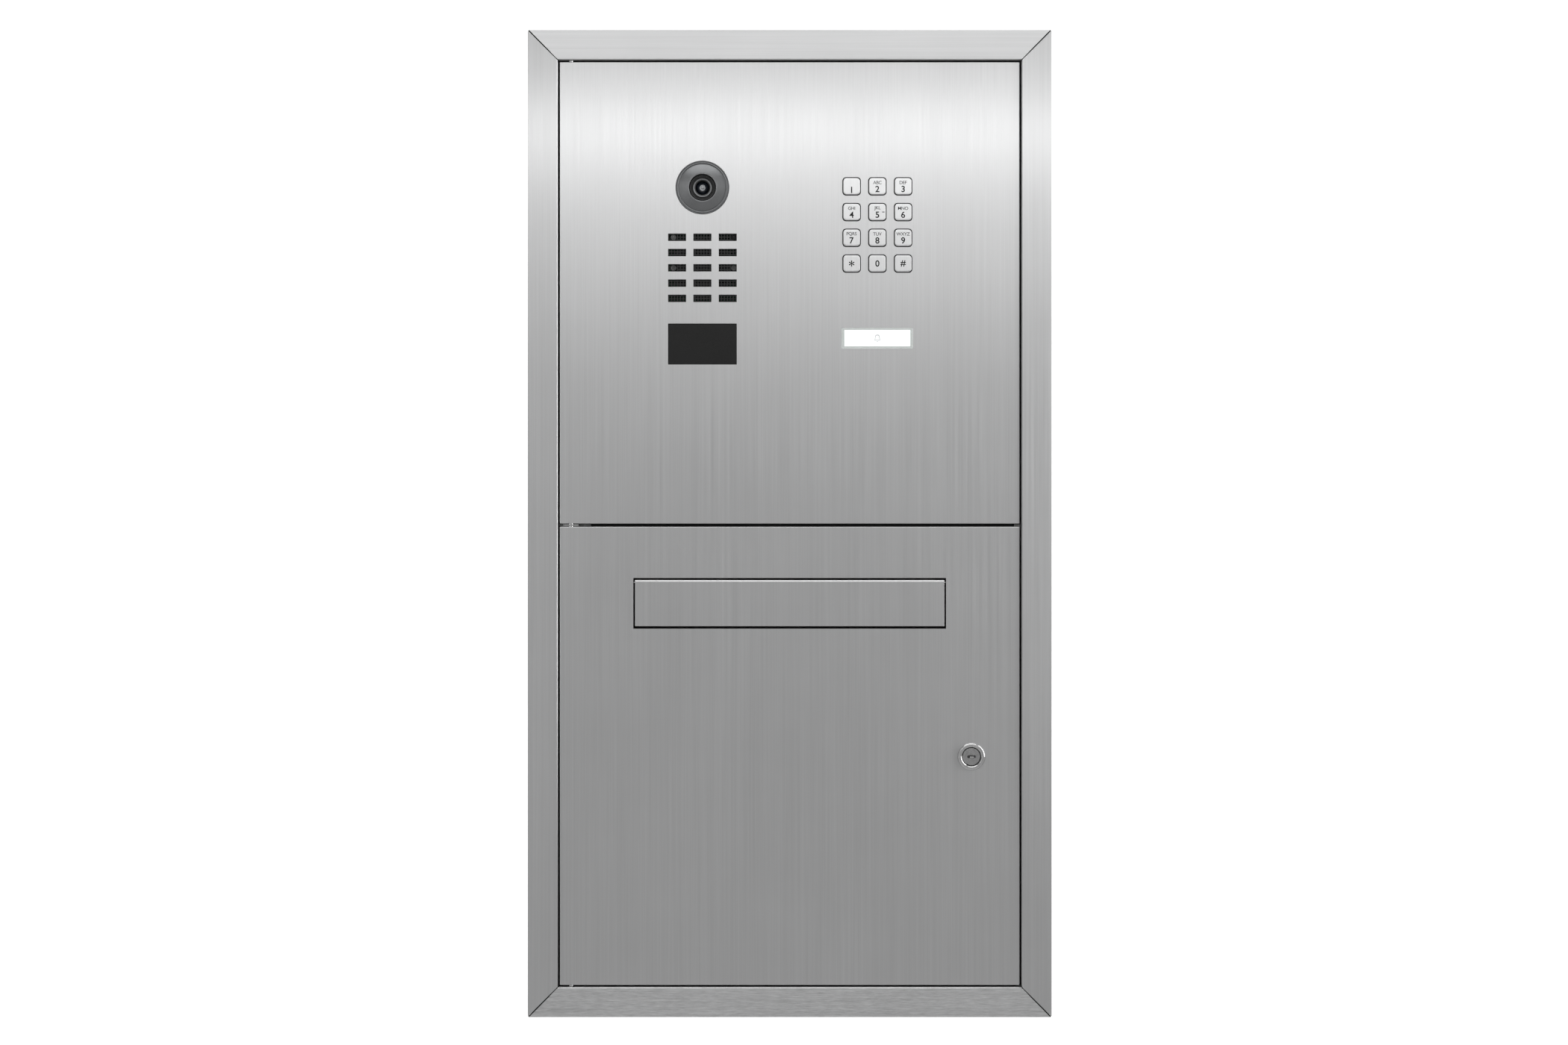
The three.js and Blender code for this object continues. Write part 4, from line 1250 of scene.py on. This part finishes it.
def pressed_ring(name, place, turn):
    """Knockout: a disc that is held by a pressed groove between two low beads."""
    beads = [
        (-2.6, 0), (-2.3, -0.3), (-1.5, -0.3), (-1.2, 0), (-0.3, 0), (0, -0.3), (0.7, -0.3),
        (1.0, 0), (1.0, 0.15), (-2.6, 0.15),
    ]
    profile = [(KNOCKOUT_R + r * MM, along * MM) for r, along in beads]
    ring = turned(name, profile, Vector((0, 0, 0)), steps=72)
    ring.transform(Matrix.Translation(place) @ turn)
    return ring


def box_knockouts():
    """Knockouts in the back, the floor and the sides of the box."""
    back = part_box("wall_box_back")[1].y
    left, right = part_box("wall_box_left")[0].x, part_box("wall_box_right")[1].x
    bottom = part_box("wall_box_bottom")[0].z
    depth = 62 * MM
    to_back = Matrix.Rotation(math.pi, 4, "Z")
    to_left = Matrix.Rotation(-math.pi / 2, 4, "Z")
    to_right = Matrix.Rotation(math.pi / 2, 4, "Z")
    to_floor = Matrix.Rotation(math.pi / 2, 4, "X")
    rings = []
    for x in (-90 * MM, 90 * MM):
        for z in (-250 * MM, 0, 250 * MM):
            rings.append(pressed_ring("back", Vector((x, back, z)), to_back))
        rings.append(pressed_ring("floor", Vector((x, depth, bottom)), to_floor))
    for z in (-180 * MM, 180 * MM):
        rings.append(pressed_ring("left", Vector((left, depth, z)), to_left))
        rings.append(pressed_ring("right", Vector((right, depth, z)), to_right))
    return joined("box_knockouts", *rings)


add_piece("box_knockouts", box_knockouts(), "wall_unit", "sheet_steel")

# CAD nodes that are still shown get their slot's material
for name, node in frame["nodes"].items():
    if not node.hide_render:
        node.data.materials.clear()
        node.data.materials.append(MATERIALS[slot_of(name)])
        shade_smooth(node.data, 30)

# ---- stage, light and camera

FLOOR_Z = cad_low.z - 1.02        # far below, as under a real door station
FLOOR_SIDE = 60.0
FLOOR_GLOW = 0.8
FLOOR_FADE = (3.0, 8.0)           # distances behind the object between which the glow sets in
PIXEL = 0.58 * MM                 # size of one pixel of the 2100 x 1400 frame at the front plane
IMAGE_WIDTH = 2100
LENS_MM = 100
SENSOR_MM = 36
OFFSET_RIGHT = 7.6 * PIXEL        # the object's middle lies this far right of the frame's middle
OFFSET_DOWN = 1.4 * PIXEL
VIEW_END = 60
ROOM_LEVEL = 0.337
BACKDROP_LEVEL = 0.9              # added to the room's level by the white backdrop
BACKDROP_FULL = 0.35              # y of a direction from which the backdrop is at full level


def add_floor():
    """Pale floor that fades into the white backdrop far behind the object."""
    bpy.ops.mesh.primitive_plane_add(size=FLOOR_SIDE, location=(0, 0, FLOOR_Z))
    floor = bpy.context.object
    floor.name = "studio_floor"
    m = Nodes("studio_floor")
    m.set(base_color=grey(0.65), roughness=0.9, emission_color=grey(1.0))
    split = m.add("ShaderNodeSeparateXYZ")
    m.link(m.coordinates(), split.inputs["Vector"])
    m.use(emission_strength=m.spread(split.outputs["Y"], 0.0, FLOOR_GLOW, *FLOOR_FADE))
    floor.data.materials.append(m.material)


def add_world():
    """White backdrop behind the object, and a dimmer room in front of it."""
    world = bpy.data.worlds.new("studio")
    bpy.context.scene.world = world
    world.use_nodes = True
    nodes, links = world.node_tree.nodes, world.node_tree.links
    source = nodes.new("ShaderNodeTexCoord")
    split = nodes.new("ShaderNodeSeparateXYZ")
    level = nodes.new("ShaderNodeMapRange")
    level.inputs["From Max"].default_value = BACKDROP_FULL
    level.inputs["To Min"].default_value = ROOM_LEVEL
    level.inputs["To Max"].default_value = ROOM_LEVEL + BACKDROP_LEVEL
    links.new(source.outputs["Generated"], split.inputs["Vector"])
    links.new(split.outputs["Y"], level.inputs["Value"])
    links.new(level.outputs["Result"], nodes["Background"].inputs["Strength"])
    nodes["Background"].inputs["Color"].default_value = (1, 1, 1, 1)


def add_area(name, place, target, width, height, power):
    """Rectangular lamp at a place, turned towards a target and unseen by the camera."""
    light = bpy.data.lights.new(name, "AREA")
    light.shape = "RECTANGLE"
    light.size, light.size_y = width, height
    light.energy = power
    lamp = bpy.data.objects.new(name, light)
    bpy.context.scene.collection.objects.link(lamp)
    lamp.location = place
    direction = Vector(target) - Vector(place)
    lamp.rotation_euler = direction.to_track_quat("-Z", "Y").to_euler()
    lamp.visible_camera = False


def add_camera():
    """Level camera straight in front, at the distance where a pixel is PIXEL wide."""
    data = bpy.data.cameras.new("camera")
    data.lens = LENS_MM
    data.sensor_width = SENSOR_MM
    eye = bpy.data.objects.new("camera", data)
    bpy.context.scene.collection.objects.link(eye)
    distance = IMAGE_WIDTH * PIXEL * LENS_MM / SENSOR_MM
    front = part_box("mailbox_door_panel")[0].y
    eye.location = (-OFFSET_RIGHT, front - distance, OFFSET_DOWN)
    eye.rotation_euler = (math.pi / 2, 0, 0)
    data.clip_end = VIEW_END
    bpy.context.scene.camera = eye


# name: (place, target, width, height, power)
AREAS = {
    "band": ((0.0, -0.42, 0.345), (0, 0, 0.33), 1.6, 0.03, 0.25),
    "band_tail": ((0.0, -1.3, 0.36), (0, 0, 0.30), 1.8, 0.1, 0.42),
    "ceiling": ((0.0, -0.9, 1.3), (0, 0, 0.2), 1.6, 0.9, 8.3),
    "window_front": ((0.0, -4.2, 0.75), (0, 0, 0), 2.5, 0.6, 5.0),
    "window_left": ((-1.5, -2.0, 0.3), (0, 0, 0), 1.0, 1.4, 1.7),
    "side_right": ((0.9, -0.35, 0.25), (0.19, 0, 0.1), 0.4, 1.0, 5.0),
}

add_floor()
add_world()
for name, (place, target, width, height, power) in AREAS.items():
    add_area(name, place, target, width, height, power)
add_camera()
bpy.context.scene.view_settings.view_transform = "Standard"
